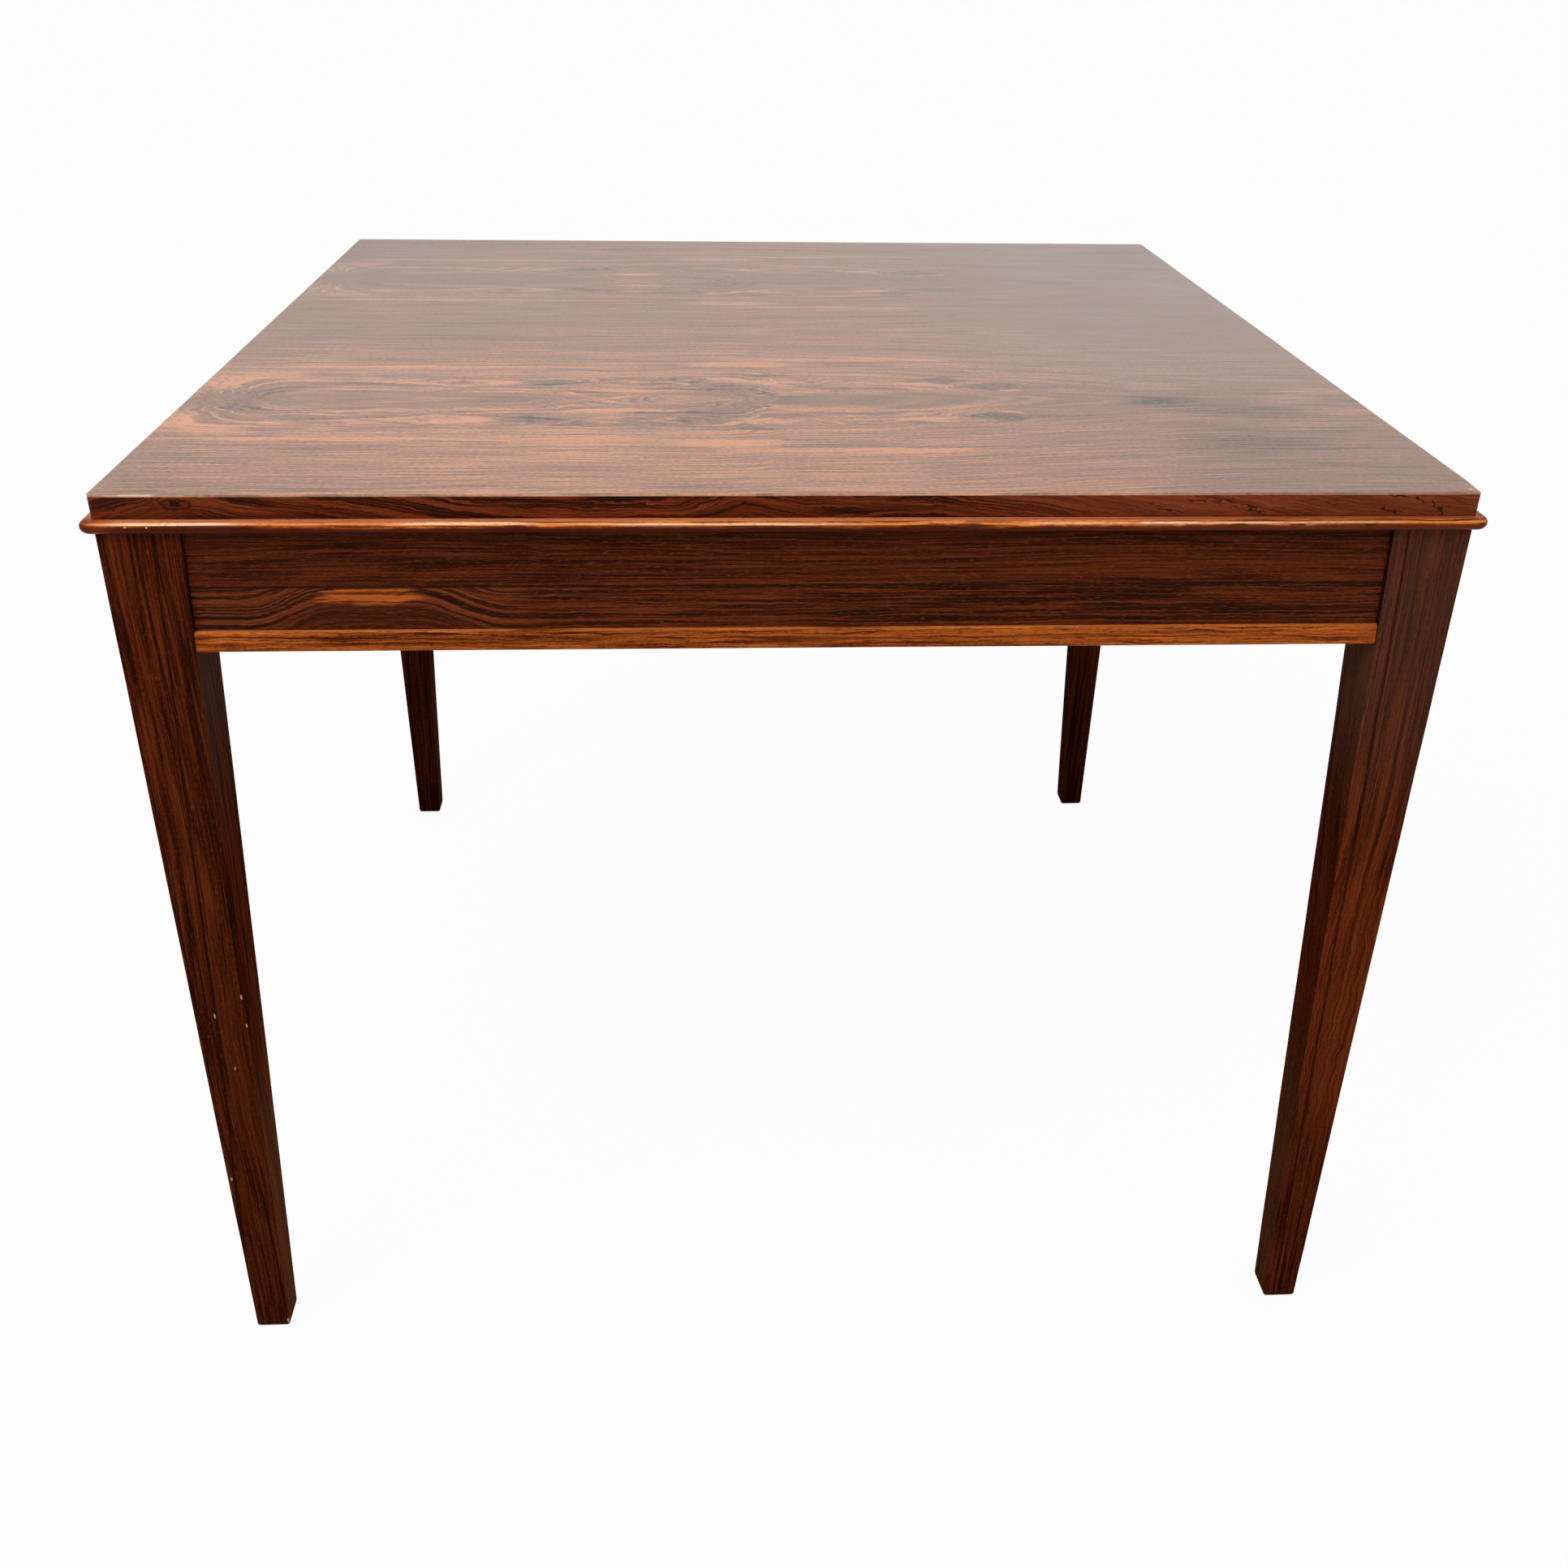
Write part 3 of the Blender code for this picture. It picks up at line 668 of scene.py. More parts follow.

        # Painted reflection as a milky haze at the back right, then a light line along the arris that is
        # partly wear and partly a painted highlight, chips and a scratch
        reflected_haze = shader.step(x, 30, 220) * shader.step(y, -190, -40)
        # Wear and a painted highlight along the top's arris, more of it towards the left
        rub_and_glint = shader.step(shader.noise(x / 24, y / 24, 2.0, detail=3.0), 0.44, 0.60)
        rub_and_glint = rub_and_glint * (1.1 - shader.step(x, -120, 120) * 0.7)
        chip = shader.spots(plan, TOP_CHIPS)
        colour = shader.over(
            shader.ramp(tone, stops),
            # Painted reflection at the back right
            (reflected_haze * 0.08, colours.reflected_haze),
            (shader.fade(z, *ARRIS_LEVELS) * (rub_and_glint * 0.45 + 0.15), colours.wear_and_glint),
            (shader.step(chip, 0.3, 0.6), colours.wear_and_glint),
            (shader.spot(plan, *TOP_SCRATCH) * 0.8, colours.ink),
        )
        dullness = (cloud - 0.5) * 0.10 + dashes * 0.06
        height = fine * 0.003 - dashes * 0.02 - chip * 0.2
        return colour, dullness, height

    return look


def edge_figure(colours, grain):
    """Solid rosewood of a lipping: wavy bands, a knot near one end and cracks near the other."""

    def look(shader):
        along, depth, z = along_grain(shader, grain)
        ripple = shader.noise(along / 26, z / 7, depth / 9, detail=2.0) - 0.5
        sway = shader.noise(along / 120, z / 40, depth / 40, detail=1.0) - 0.5
        crooked = shader.noise(along / 4, z / 2.5, depth / 4, detail=2.0) - 0.5
        right = shader.step(along, 40, 190)
        hill = shader.hump(along, -268, 120) * 22
        swirl = shader.hump(along, -24, 26)
        slope = shader.largest(along - 60, 0) * 0.17
        side = shader.vector(along + crooked * 6, z + crooked * 2.4)
        knot = shader.cone(side, *KNOT)
        rings = z + depth * 0.35 + slope - hill - swirl * 6 + knot * 4
        rings = rings + sway * 14 + ripple * 4.5 + crooked * 1.6
        strength, inking = 1.35 - right * 0.3, 0.80 - right * 0.35 + swirl * 0.2
        colour, change = rosewood(
            shader, rings, along, colours.ink, colours.edge_dark, colours.edge_light, strength, inking
        )

        # Faint cracks that follow the slope, and the deep ones, all at the right
        cracked = shader.noise((z + slope * 1.3 + crooked * 3.2) / 5.2, along / 210, 1.0, detail=1.0)
        broken = shader.step(shader.noise(along / 14, z / 9, 5.0), 0.38, 0.48)
        cracks = shader.fade(abs(cracked - 0.5), 0.003, 0.013) * right * broken * 0.45
        zigzag = shader.vector(along + crooked * 9, z + crooked * 4)
        cracks = shader.largest(cracks, shader.step(shader.spots(zigzag, CRACKS), 0.12, 0.5))
        knot_ring = shader.fade(abs(knot - 0.30), 0.04, 0.12)
        knot_heart = shader.step(knot, 0.55, 0.75)
        dashes = pores(shader, along, z, depth, 4.0, 0.35)

        colour = shader.mix(shader.spot(side, *UNDER_KNOT) * 0.5, colour, colours.edge_light)
        colour = shader.shade(colour, shader.step(along, -200, -100) * 0.12 + 0.88)
        colour = shader.over(
            colour,
            (right * (0.50 + ripple * 0.8), colours.edge_pale),
            (cracks * 0.9, colours.ink),
            (dashes * 0.45, colours.ink),
            (shader.step(knot, 0.05, 0.5) * 0.4, colours.edge_dark),
            (shader.largest(knot_ring * 0.7, knot_heart * 0.9), colours.ink),
        )
        return colour, *touch(change, dashes, cracks * 0.02)

    return look


def nose_figure(colours, grain):
    """Lighter solid rosewood of the moulding, blotched, with rubbing and a painted highlight along its
    nose, painted light on its ledge and painted shade below.
    """

    def look(shader):
        along, depth, z = along_grain(shader, grain)
        ripple = shader.noise(along / 30, z / 6, depth / 6, detail=2.0) - 0.5
        rings = z + depth * 0.55 + ripple * 4
        colour, change = rosewood(
            shader, rings, along, colours.edge_dark, colours.nose_dark, colours.nose_light, 1.2
        )
        blotch = shader.noise(along / 34, z / 14, depth / 14, detail=3.0)
        crooked = shader.noise(along / 5, z / 2, depth / 4, detail=2.0) - 0.5
        wear_and_glint = shader.noise(along / 30, depth / 30, 8.0, detail=3.0) - 0.5
        right = shader.step(along, 40, 240)
        left = shader.fade(along, -250, -225)
        end = shader.fade(along, -306, -290)

        # A painted highlight, with some rubbing, along the crest of the nose, which lies lower in places
        glints = [
            shader.step(shader.hump(along + wear_and_glint * 30, middle, reach), 0, 0.7) * light
            for (middle, reach), light in CREST_GLINTS
        ]
        crest_level = 488.2 - shader.step(along, -130, -70) * 0.4
        crest_level = crest_level - shader.between(along, (-50, -20), (80, 110)) * 0.15
        crest = shader.fade(abs(z + ripple * 0.4 - crest_level), 0.18, 0.60)
        crest = crest * (shader.step(along, -309, -303) * 0.85 + 0.15)
        rub_and_glint = shader.largest(*glints) * (0.95 + wear_and_glint)
        crest_colour = shader.mix(rub_and_glint, colours.nose_light, colours.rub_and_glint)

        # Painted shade below the nose, which faces down, and painted light on the ledge above it, most near
        # the middle
        level = z + (blotch - 0.5) * 3 + crooked * 1.4 - left * 0.9
        ledge = shader.step(z, 488.6, 488.95) * (0.9 + wear_and_glint * 0.8)
        ledge_colour = shader.mix(shader.largest(right * 0.8, end), colours.ledge_wood_and_light, colours.nose_dark)
        painted_ledge_glow = shader.hump(along, -30, 110)
        blot = shader.spots(shader.vector(along + crooked * 8, z + crooked * 1.5), NOSE_BLOTS)
        nick = shader.spots(shader.vector(along, z), MOULDING_NICKS)
        dashes = pores(shader, along, z, depth, 3.2, 0.4)
        colour = shader.over(
            colour,
            (shader.step(blotch, 0.56, 0.64) * 0.6, colours.edge_light),
            (shader.fade(level, 486.5, 487.4) * 0.95, colours.edge_light),
            (shader.fade(level, 485.6, 487.1) * (0.85 - right * 0.4), colours.edge_dark),
            # Painted shade towards the left end of the front moulding
            (end * 0.7, colours.edge_light),
            (crest * (0.95 - right * 0.1), crest_colour),
            (ledge, ledge_colour),
            (ledge * painted_ledge_glow * 0.6, colours.nose_light),
            (shader.step(blot, 0.2, 0.7) * 0.8, colours.edge_dark),
            (dashes * 0.5, colours.edge_dark),
            # Painted shade, darkest at the left tip
            (shader.fade(along, -309.5, -300) * 0.7, colours.edge_dark),
            (shader.step(nick, 0.3, 0.6), colours.wear_and_glint),
        )
        return colour, *touch(change, dashes, nick * 0.2)

    return look


def bead_figure(colours, grain):
    """Lighter solid rosewood of the beads, with short dark dashes and a painted highlight along the upper
    arris.
    """

    def look(shader):
        along, depth, z = along_grain(shader, grain)
        ripple = shader.noise(along / 24, z / 6, depth / 6, detail=2.0) - 0.5
        rings = z + depth * 0.55 + ripple * 3.5
        colour, change = rosewood(
            shader, rings, along, colours.edge_dark, colours.bead_dark, colours.bead_light, 0.9
        )
        streak = shader.step(shader.noise(along / 7, z / 0.8, depth / 2, detail=1.0), 0.58, 0.68)
        # Painted highlight, in patches, along the top of the bead's outer arris
        rub = shader.step(shader.noise(along / 50, depth / 50, 8.0, detail=2.0), 0.3, 0.5)
        rub = rub * shader.step(z, 434.8, 435.4)
        dashes = pores(shader, along, z, depth, 3.2, 0.35)
        colour = shader.over(
            colour,
            (streak * 0.6, colours.edge_dark),
            (rub * 0.5, colours.nose_light),
            (dashes * 0.5, colours.ink),
        )
        return colour, *touch(change, dashes)

    return look


def apron_figure(colours, grain, hills):
    """Apron veneer in two strips. Below their joint the figure rises in arches, cut off by the joint."""

    def look(shader):
        along, depth, z = along_grain(shader, grain)
        sway = shader.noise(along / 190, z / 30, depth / 60, detail=1.0) - 0.5
        ripple = shader.noise(along / 36, z / 7, depth / 30, detail=2.0) - 0.5
        shiver = shader.noise(along / 7, z / 3, depth / 9, detail=2.0) - 0.5
        grit = shader.noise(along / 9, z, depth / 9, detail=3.0) - 0.5
        joint = APRON_JOINT + sway * 1.5
        lower = shader.fade(z, joint - 0.1, joint + 0.1)
        rises = [((place, side * APRON_FACE), (58, 60)) for place, side in hills]
        hill = shader.spots(shader.vector(along, depth), rises)
        fall = (joint - z) + hill * 12 + ripple * 2.4 + shiver * 1.3
        rings = fall * lower + (z + sway * 7 + ripple * 1.6) * (1 - lower)
        bold = lower * shader.step(z, 434, 440)
        strength, inking = 0.9 + bold * 0.5, 0.6 + bold * 0.3
        colour, change = rosewood(
            shader, rings, along, colours.ink, colours.frame_dark, colours.frame_light, strength, inking
        )

        # The first arch has light and dark bars, a light patch, a dark ridge over it and a dark foot
        first = hills[0][0]
        arch = hill * lower
        near = shader.step(shader.step(shader.hump(along, first - 14, 104), 0, 0.7), 0.1, 0.5) * lower
        bars = shader.step(shader.noise(fall / 2.0, along / 260, 21.0, detail=1.0), 0.46, 0.53)
        ridge = shader.fade(abs(fall - 6.2), 0.3, 1.0) * shader.step(arch, 0.08, 0.3)
        foot = shader.step(fall, 17, 24) * arch
        ragged = shader.vector(along + grit * 8, fall + grit * 3)
        patch = shader.cone(ragged, (first - 2, 15.6), (32, 7.2))
        patch = shader.step(patch + grit * 0.8, 0.16, 0.48) * arch
        colour = shader.over(
            colour,
            (near * bars * (0.26 - foot * 0.2), colours.edge_pale),
            (near * (1 - bars) * (0.75 - foot * 0.35), colours.ink),
            (foot * 0.45, colours.frame_dark),
            (patch * (bars * 0.45 + grit * 0.6 + 0.20), colours.bead_light),
            (ridge * 0.7, colours.ink),
            (shader.fade(abs(z - joint), 0.4, 1.0) * 0.9, colours.ink),
        )

        # Painted shadow, darker under the moulding
        colour = shader.shade(colour, 1 - shader.step(z, 474, 481) * 0.3)
        dashes = pores(shader, along, z, depth, 4.5, 0.4)
        light_dashes = pores(shader, along + 300, z, depth, 4.0, 0.45)
        colour = shader.over(colour, (dashes * 0.5, colours.ink), (light_dashes * 0.14, colours.bead_light))
        return colour, *touch(change, dashes)

    return look


def leg_figure(colours):
    """Straight-grained rosewood of the legs, with upright light and dark bands."""

    def look(shader):
        x, y, z = shader.position()
        right = shader.step(x, -10, 10)
        bend = shader.noise(x / 300, y / 300, z / 260, detail=1.0) - 0.5
        ripple = shader.noise(x / 14, y / 14, z / 60, detail=2.0) - 0.5
        wave = shader.noise(x / 20, y / 20, z / 16, detail=1.0) - 0.5
        figured = shader.between(z, (90, 160), (260, 340)) * right
        rings = x * 0.8 + y * 0.6 + bend * 8 + ripple * 2.2 + wave * figured * 5
        colour, change = rosewood(
            shader, rings, z, colours.ink, colours.frame_dark, colours.frame_light, 0.70, 0.90
        )

        # Painted shade on the inner faces, most beside the aprons, a painted grey sheen near the tops, and
        # the faces darker or lighter from left to right and from top to bottom
        high = shader.step(z, 300, 430)
        low = shader.fade(z, 130, 225)
        middle = shader.between(z, (100, 190), (320, 430))
        beside = shader.step(z, BEAD_LOW / MM - 1.1, BEAD_LOW / MM - 0.1)
        inner = shader.step((LEG_REACH - leg_width(z * MM)) / MM - abs(x), -0.25, -0.05)
        grey = high * (right * 0.24 * (1 - inner) + inner * (1 - beside) * 0.45)
        colour = shader.over(
            colour,
            (right * figured * 0.16, colours.edge_light),
            (grey, colours.painted_sheen_grey),
            (low * inner * 0.24, colours.murk),
        )
        painted_inner_shade = right * (middle * 0.24 + low * 0.24 + 0.25) + beside * 0.45
        outer_shade = (1 - right) * shader.fade(z, 220, 330) * 0.24
        outer_shade = outer_shade - right * middle * 0.28 + low * right * 0.12
        colour = shader.shade(colour, 1 - inner * painted_inner_shade - (1 - inner) * outer_shade)

        # One long dark line runs down each leg, a little aslant
        slant = (483 - z) * (0.055 - right * 0.02)
        long_line = abs(x) - 280 + right * 5 - slant + ripple * 3 + bend * 2
        dashes = pores(shader, z, x, y, 5.0, 0.4)
        light_dashes = pores(shader, z + 300, x, y, 4.0, 0.4)
        colour = shader.over(
            colour,
            (shader.fade(abs(long_line), 0.25, 1.1) * 0.75, colours.ink),
            (dashes * 0.5, colours.ink),
            (light_dashes * 0.10, colours.bead_light),
        )

        # Painted shade makes the back legs darker, and the front left one is nicked
        colour = shader.shade(colour, 1 - shader.step(y, -10, 10) * 0.5)
        nick = shader.spots(shader.vector(x, z), LEG_NICKS) * shader.fade(y, -303.5, -303)
        colour = shader.mix(shader.step(nick, 0.3, 0.7) * 0.7, colour, colours.wear_and_glint)
        return colour, *touch(change, dashes, nick * 0.12)

    return look


def pale_wood(colour_of_wood, grain, fleck_length=3.0):
    """Plain timber inside the frame, with faint rings and small flecks."""

    def look(shader):
        x, y, z = shader.position()
        along, across, depth = {"x": (x, y, z), "y": (y, x, z), "z": (z, x, y)}[grain]
        sway = shader.noise(along / 60, across / 18, depth / 18) - 0.5
        rings = shader.noise((across + sway * 5) / 2.4, along / 160, depth / 6, detail=3.0)
        fleck = shader.noise(along / fleck_length, across / 0.5, depth / 0.5, detail=1.0)
        fleck = shader.step(fleck, 0.60, 0.68)
        colour = shader.shade(colour_of_wood, rings * 0.5 + 0.74)
        colour = shader.shade(colour, 1 - fleck * 0.22)
        return colour, (rings - 0.5) * 0.2, rings * 0.02 - fleck * 0.02

    return look


def chip_board(colour_of_chips):
    """The board's core of pressed chips."""

    def look(shader):
        x, y, z = shader.position()
        cells = shader.node(
            "ShaderNodeTexVoronoi",
            {"feature": "F1"},
            {"Vector": shader.vector(x / 3.5, y / 2.2, z / 1.2), "Scale": 1.0, "Randomness": 1.0},
            out=1,
        )
        tone = shader.node("ShaderNodeSeparateColor", (), {0: cells})
        grit = shader.noise(x / 0.8, y / 0.8, z / 0.8, detail=2.0)
        colour = shader.shade(colour_of_chips, tone * 0.35 + grit * 0.5 + 0.55)
        return colour, (grit - 0.5) * 0.2, tone * 0.06 + grit * 0.05

    return look


def screw_metal(steel):
    """Plated steel, with fine turning marks and dull spots."""

    def look(shader):
        x, y, z = shader.position()
        marks = shader.noise(x / 0.25, y / 0.25, z / 0.25, detail=3.0)
        dull = shader.step(shader.noise(x / 3, y / 3, z / 3, detail=3.0), 0.48, 0.62)
        colour = shader.shade(steel, marks * 0.3 + 0.85 - dull * 0.25)
        return colour, dull * 0.25 + (marks - 0.5) * 0.2, marks * 0.01

    return look


# Shapes


def add_piece(name, bm, material, slot, *nodes):
    """Adds a piece of the table, which stands for the named solids."""
    bmesh.ops.remove_doubles(bm, verts=bm.verts, dist=MERGE)
    bmesh.ops.dissolve_degenerate(bm, edges=bm.edges, dist=MERGE)
    bmesh.ops.recalc_face_normals(bm, faces=bm.faces)
    mesh = bpy.data.meshes.new(name)
    bm.to_mesh(mesh)
    bm.free()
    mesh.materials.append(material)
    mesh.shade_smooth()
    mesh.set_sharp_from_angle(angle=SHARP_ANGLE)
    piece = bpy.data.objects.new(name, mesh)
    bpy.context.scene.collection.objects.link(piece)
    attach(piece, "root")
    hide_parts(*nodes)


def dress(prefix, material):
    """Gives the solids whose names begin so their material."""
    dressed = [node for name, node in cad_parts.items() if name.startswith(prefix)]
    if not dressed:
        raise RuntimeError(f"the frame has no solid whose name begins with {prefix}")
    for node in dressed:
        node.material_slots[0].material = material


def skin(rings):
    """A closed bmesh through rings of points, with a flat face at each end."""
    bm = bmesh.new()
    rows = [[bm.verts.new(point) for point in ring] for ring in rings]
    count = len(rows[0])
    for first, second in zip(rows, rows[1:]):
        for at in range(count):
            after = (at + 1) % count
            bm.faces.new((first[at], first[after], second[after], second[at]))
    bm.faces.new(list(reversed(rows[0])))
    bm.faces.new(rows[-1])
    return bm


def turn_to_side(bm, turn):
    """Turns a piece made at the front to another side of the table."""
    matrix = Matrix.Rotation(turn * QUARTER_TURN, 3, "Z")
    bmesh.ops.rotate(bm, verts=bm.verts, cent=(0, 0, 0), matrix=matrix)


def quarter_round(middle, radius, start, steps):
    """Points of a quarter circle, turning to the left from the start angle in degrees."""
    points = []
    for step in range(steps + 1):
        angle = math.radians(start + 90 * step / steps)
        points.append((middle[0] + radius * math.cos(angle), middle[1] + radius * math.sin(angle)))
    return points


def spread(low, high, gap):
    """Evenly spaced numbers from low to high, about a gap apart."""
    count = max(1, round((high - low) / gap))
    return [low + (high - low) * step / count for step in range(count + 1)]


def wander(x, y, z, seed):
    """A smooth random number from about -1 to 1."""
    return noise.noise(Vector((x, y, z + seed)))


def mitred_strip(profile, reach, corner_radius, turn, wave=0.0):
    """A strip along one side of the top, mitred at both ends, with its outer corners rounded.

    The profile has (inset, height) points, the inset measured from the outer face. The reach is
    from the table's middle to that face. Wave is how far the rounded outer part wanders.
    """
    rounding = spread(-135, -90, 6)
    straight = spread(corner_radius - reach, reach - corner_radius, STATION_GAP)[1:-1]
    rings = []
    stations = [("left", angle) for angle in rounding]
    stations += [("middle", x) for x in straight]
    stations += [("right", -180 - angle) for angle in reversed(rounding)]
    for part, at in stations:
        ring = []
        for inset, height in profile:
            radius = max(corner_radius - inset, 0)
            centre = reach - max(inset, corner_radius)
            if part == "middle":
                drift = wave * wander(at * 22, inset * 90, height * 160, turn * 7.3)
                share = min(1, max(0, 1 - inset / 0.004))
                stretch = centre / (reach - corner_radius)
                point = Vector((at * stretch, inset - reach + abs(drift) * share, height))
            else:
                angle = math.radians(at)
                sign = -1 if part == "left" else 1
                x = sign * centre + radius * math.cos(angle) - sign * HAIRLINE
                point = Vector((x, radius * math.sin(angle) - centre, height))
            ring.append(point)
        rings.append(ring)
    bm = skin(rings)
    turn_to_side(bm, turn)
    return bm


def leg_width(height):
    """Width of a leg at a height. Its outer faces are upright and its inner ones taper."""
    return LEG_FOOT_WIDTH + (LEG_TOP_WIDTH - LEG_FOOT_WIDTH) * height / LEG_TOP_LEVEL


def make_top_veneer(trim, material):
    """The sheet on the upper face, with its arris rounded unevenly by wear and a chipped front right
    corner.
    """
    corner = TOP_REACH - TOP_CORNER_RADIUS
    outline = []
    for turn in range(4):
        quarter = Matrix.Rotation(turn * QUARTER_TURN, 3, "Z")
        arc = quarter_round((corner, -corner), TOP_CORNER_RADIUS, -90, 10)
        side = [(TOP_REACH, y) for y in spread(-corner, corner, 0.006)[1:-1]]
        outline += [quarter @ Vector((x, y, 0)) for x, y in arc + side]
    rings = []
    steps = 4
    for point in outline:
        rub = 1 + 0.5 * wander(point.x * 30, point.y * 30, 0, 1.7)
        rub += 0.4 * wander(point.x * 140, point.y * 140, 0, 5.1)
        blunt = max(0, 1 - (point - Vector(BLUNT_CORNER)).length / BLUNT_REACH)
        depth = trim.veneer_arris * max(rub, 0.4) + blunt * BLUNT_DEPTH
        width = depth + blunt * BLUNT_WIDTH
        inward = -point.normalized()
        column = [Vector((point.x, point.y, VENEER_LEVEL))]
        for step in range(steps + 1):
            angle = QUARTER_TURN * step / steps
            level = TOP_LEVEL - depth + depth * math.sin(angle)
            column.append(Vector((*(point + inward * width * (1 - math.cos(angle))).xy, level)))
        column.append(Vector((*(point + inward * (width + FLAT_RIM)).xy, TOP_LEVEL)))
        rings.append(column)
    bm = skin(list(zip(*rings)))
    add_piece("top_veneer", bm, material, "face_veneer", "face_veneer")


def make_lipping(side, turn, trim, material):
    """A solid strip round the board, under the face veneer."""
    arris = quarter_round((trim.lipping_arris, EDGE_LEVEL + trim.lipping_arris), trim.lipping_arris, 180, 3)
    inner_face = [(LIPPING_THICKNESS, EDGE_LEVEL), (LIPPING_THICKNESS, VENEER_LEVEL)]
    bm = mitred_strip([(0, VENEER_LEVEL), *arris, *inner_face], TOP_REACH, TOP_CORNER_RADIUS, turn)
    add_piece(f"edge_{side}", bm, material, "edge_wood", f"lipping_{side}")


def make_moulding(side, turn, trim, material):
    """A strip with a half-round nose, whose shape wanders a little, as if it was scraped by hand."""
    radius = MOULDING_THICKNESS / 2
    width = MOULDING_REACH - TOP_REACH + LIPPING_THICKNESS
    middle = (radius, EDGE_LEVEL - radius)
    nose = quarter_round(middle, radius, 90, 8) + quarter_round(middle, radius, 180, 8)[1:]
    profile = [(width, EDGE_LEVEL), *nose, (width, EDGE_LEVEL - MOULDING_THICKNESS)]
    bm = mitred_strip(profile, MOULDING_REACH, MOULDING_CORNER_RADIUS, turn, trim.hand_shaping)
    add_piece(f"nosing_{side}", bm, material, "moulding_wood", f"moulding_{side}")


def make_bead(side, turn, trim, material):
    """A strip along an apron's lower edge, from leg to leg, with its outer arrises rounded."""
    radius = trim.bead_arris
    front = LEG_REACH - BEAD_SETBACK
    lower = quarter_round((radius, BEAD_LOW + radius), radius, 180, 5)
    upper = quarter_round((radius, BEAD_HIGH - radius), radius, 90, 5)
    profile = [*upper, *lower, (BEAD_DEPTH, BEAD_LOW), (BEAD_DEPTH, BEAD_HIGH)]
    rings = []
    for share in spread(-1, 1, 0.05):
        ring = []
        for inset, height in profile:
            reach = LEG_REACH - leg_width(height) - HAIRLINE
            drift = trim.hand_shaping * 0.5 * abs(wander(share * 9, inset * 90, height * 160, turn * 3.1))
            ring.append(Vector((share * reach, inset - front + drift * (inset < radius), height)))
        rings.append(ring)
    bm = skin(rings)
    turn_to_side(bm, turn)
    add_piece(f"apron_bead_{side}", bm, material, "bead_wood", f"bead_{side}")


def make_leg(corner, trim, material):
    """A leg with upright outer faces and tapering inner ones, its arrises softened and its foot eased."""
    right, far = CORNERS[corner]
    easing = trim.foot_easing
    heights = [easing * (1 - math.cos(math.radians(angle))) for angle in (0, 22.5, 45, 67.5, 90)]
    heights += spread(easing, LEG_TOP_LEVEL, STATION_GAP)[1:]
    rings = []
    for height in heights:
        inset = easing - math.sqrt(max(0, easing ** 2 - max(0, easing - height) ** 2))
        low, high = inset, leg_width(height) - inset
        ring = []
        for quarter, (across, deep) in enumerate(((0, 0), (1, 0), (1, 1), (0, 1))):
            soft = trim.leg_arris * (1 + 0.35 * wander(height * 40, quarter * 3.7, right + far * 2, 0.5))
            centre = [high - soft if outward else low + soft for outward in (across, deep)]
            ring += quarter_round(centre, soft, 180 + 90 * quarter, 4)
        rings.append([Vector((right * (LEG_REACH - p), far * (LEG_REACH - q), height)) for p, q in ring])
    bm = skin(rings)
    add_piece(f"tapered_leg_{corner}", bm, material, "leg_wood", f"leg_{corner}")


def make_floor(studio):
    """A wide pale floor, clear from below. Seen from above it is white, apart from the table's shadow."""
    material = bpy.data.materials.new("studio_floor")
    material.use_nodes = True
    shader = Shader(material.node_tree)
    path = shader.node("ShaderNodeLightPath").socket.node.outputs
    seen = shader.largest(*[Value(shader, path[name]) for name in LOOKING_RAYS])
    lit = shader.node("ShaderNodeBsdfDiffuse", (), {"Color": studio.floor})
    bright = shader.node("ShaderNodeEmission", (), {"Color": WHITE, "Strength": 1.0})
    share = seen * (1 - studio.floor_shadow)
    pale = shader.node("ShaderNodeMixShader", (), {0: share, 1: lit, 2: bright})
    below = shader.node("ShaderNodeNewGeometry").socket.node.outputs["Backfacing"]
    clear = shader.node("ShaderNodeBsdfTransparent")
    one_sided = shader.node("ShaderNodeMixShader", (), {0: Value(shader, below), 1: pale, 2: clear})
    shader.node("ShaderNodeOutputMaterial", (), {"Surface": one_sided})
    bm = bmesh.new()
    bmesh.ops.create_circle(bm, cap_ends=True, segments=96, radius=FLOOR_RADIUS)
    mesh = bpy.data.meshes.new("studio_floor")
    bm.to_mesh(mesh)
    bm.free()
    mesh.materials.append(material)
    floor = bpy.data.objects.new("studio_floor", mesh)
    floor.location.z = -FLOOR_GAP
    bpy.context.scene.collection.objects.link(floor)


def make_surroundings(studio):
    """White all round for the camera, gloss and glass, and a plain soft light for everything else."""
    world = bpy.data.worlds.new("studio")
    world.use_nodes = True
    shader = Shader(world.node_tree)
    path = shader.node("ShaderNodeLightPath").socket.node.outputs
    seen = shader.largest(*[Value(shader, path[name]) for name in LOOKING_RAYS])
    strength = seen * (1 - studio.ambient) + studio.ambient
    sky = shader.node("ShaderNodeBackground", (), {"Color": WHITE, "Strength": strength})
    shader.node("ShaderNodeOutputWorld", (), {"Surface": sky})
    bpy.context.scene.world = world


def make_lamp(studio):
    """A soft lamp above the front left of the table."""
    light = bpy.data.lights.new("soft_lamp", "AREA")
    light.energy = studio.lamp_power
    light.shape = "RECTANGLE"
    light.size, light.size_y = LAMP_SIZE
    lamp = bpy.data.objects.new("soft_lamp", light)
    lamp.location = LAMP_PLACE
    lamp.rotation_euler = (Vector(LAMP_AIM) - Vector(LAMP_PLACE)).to_track_quat("-Z", "Y").to_euler()
    bpy.context.scene.collection.objects.link(lamp)


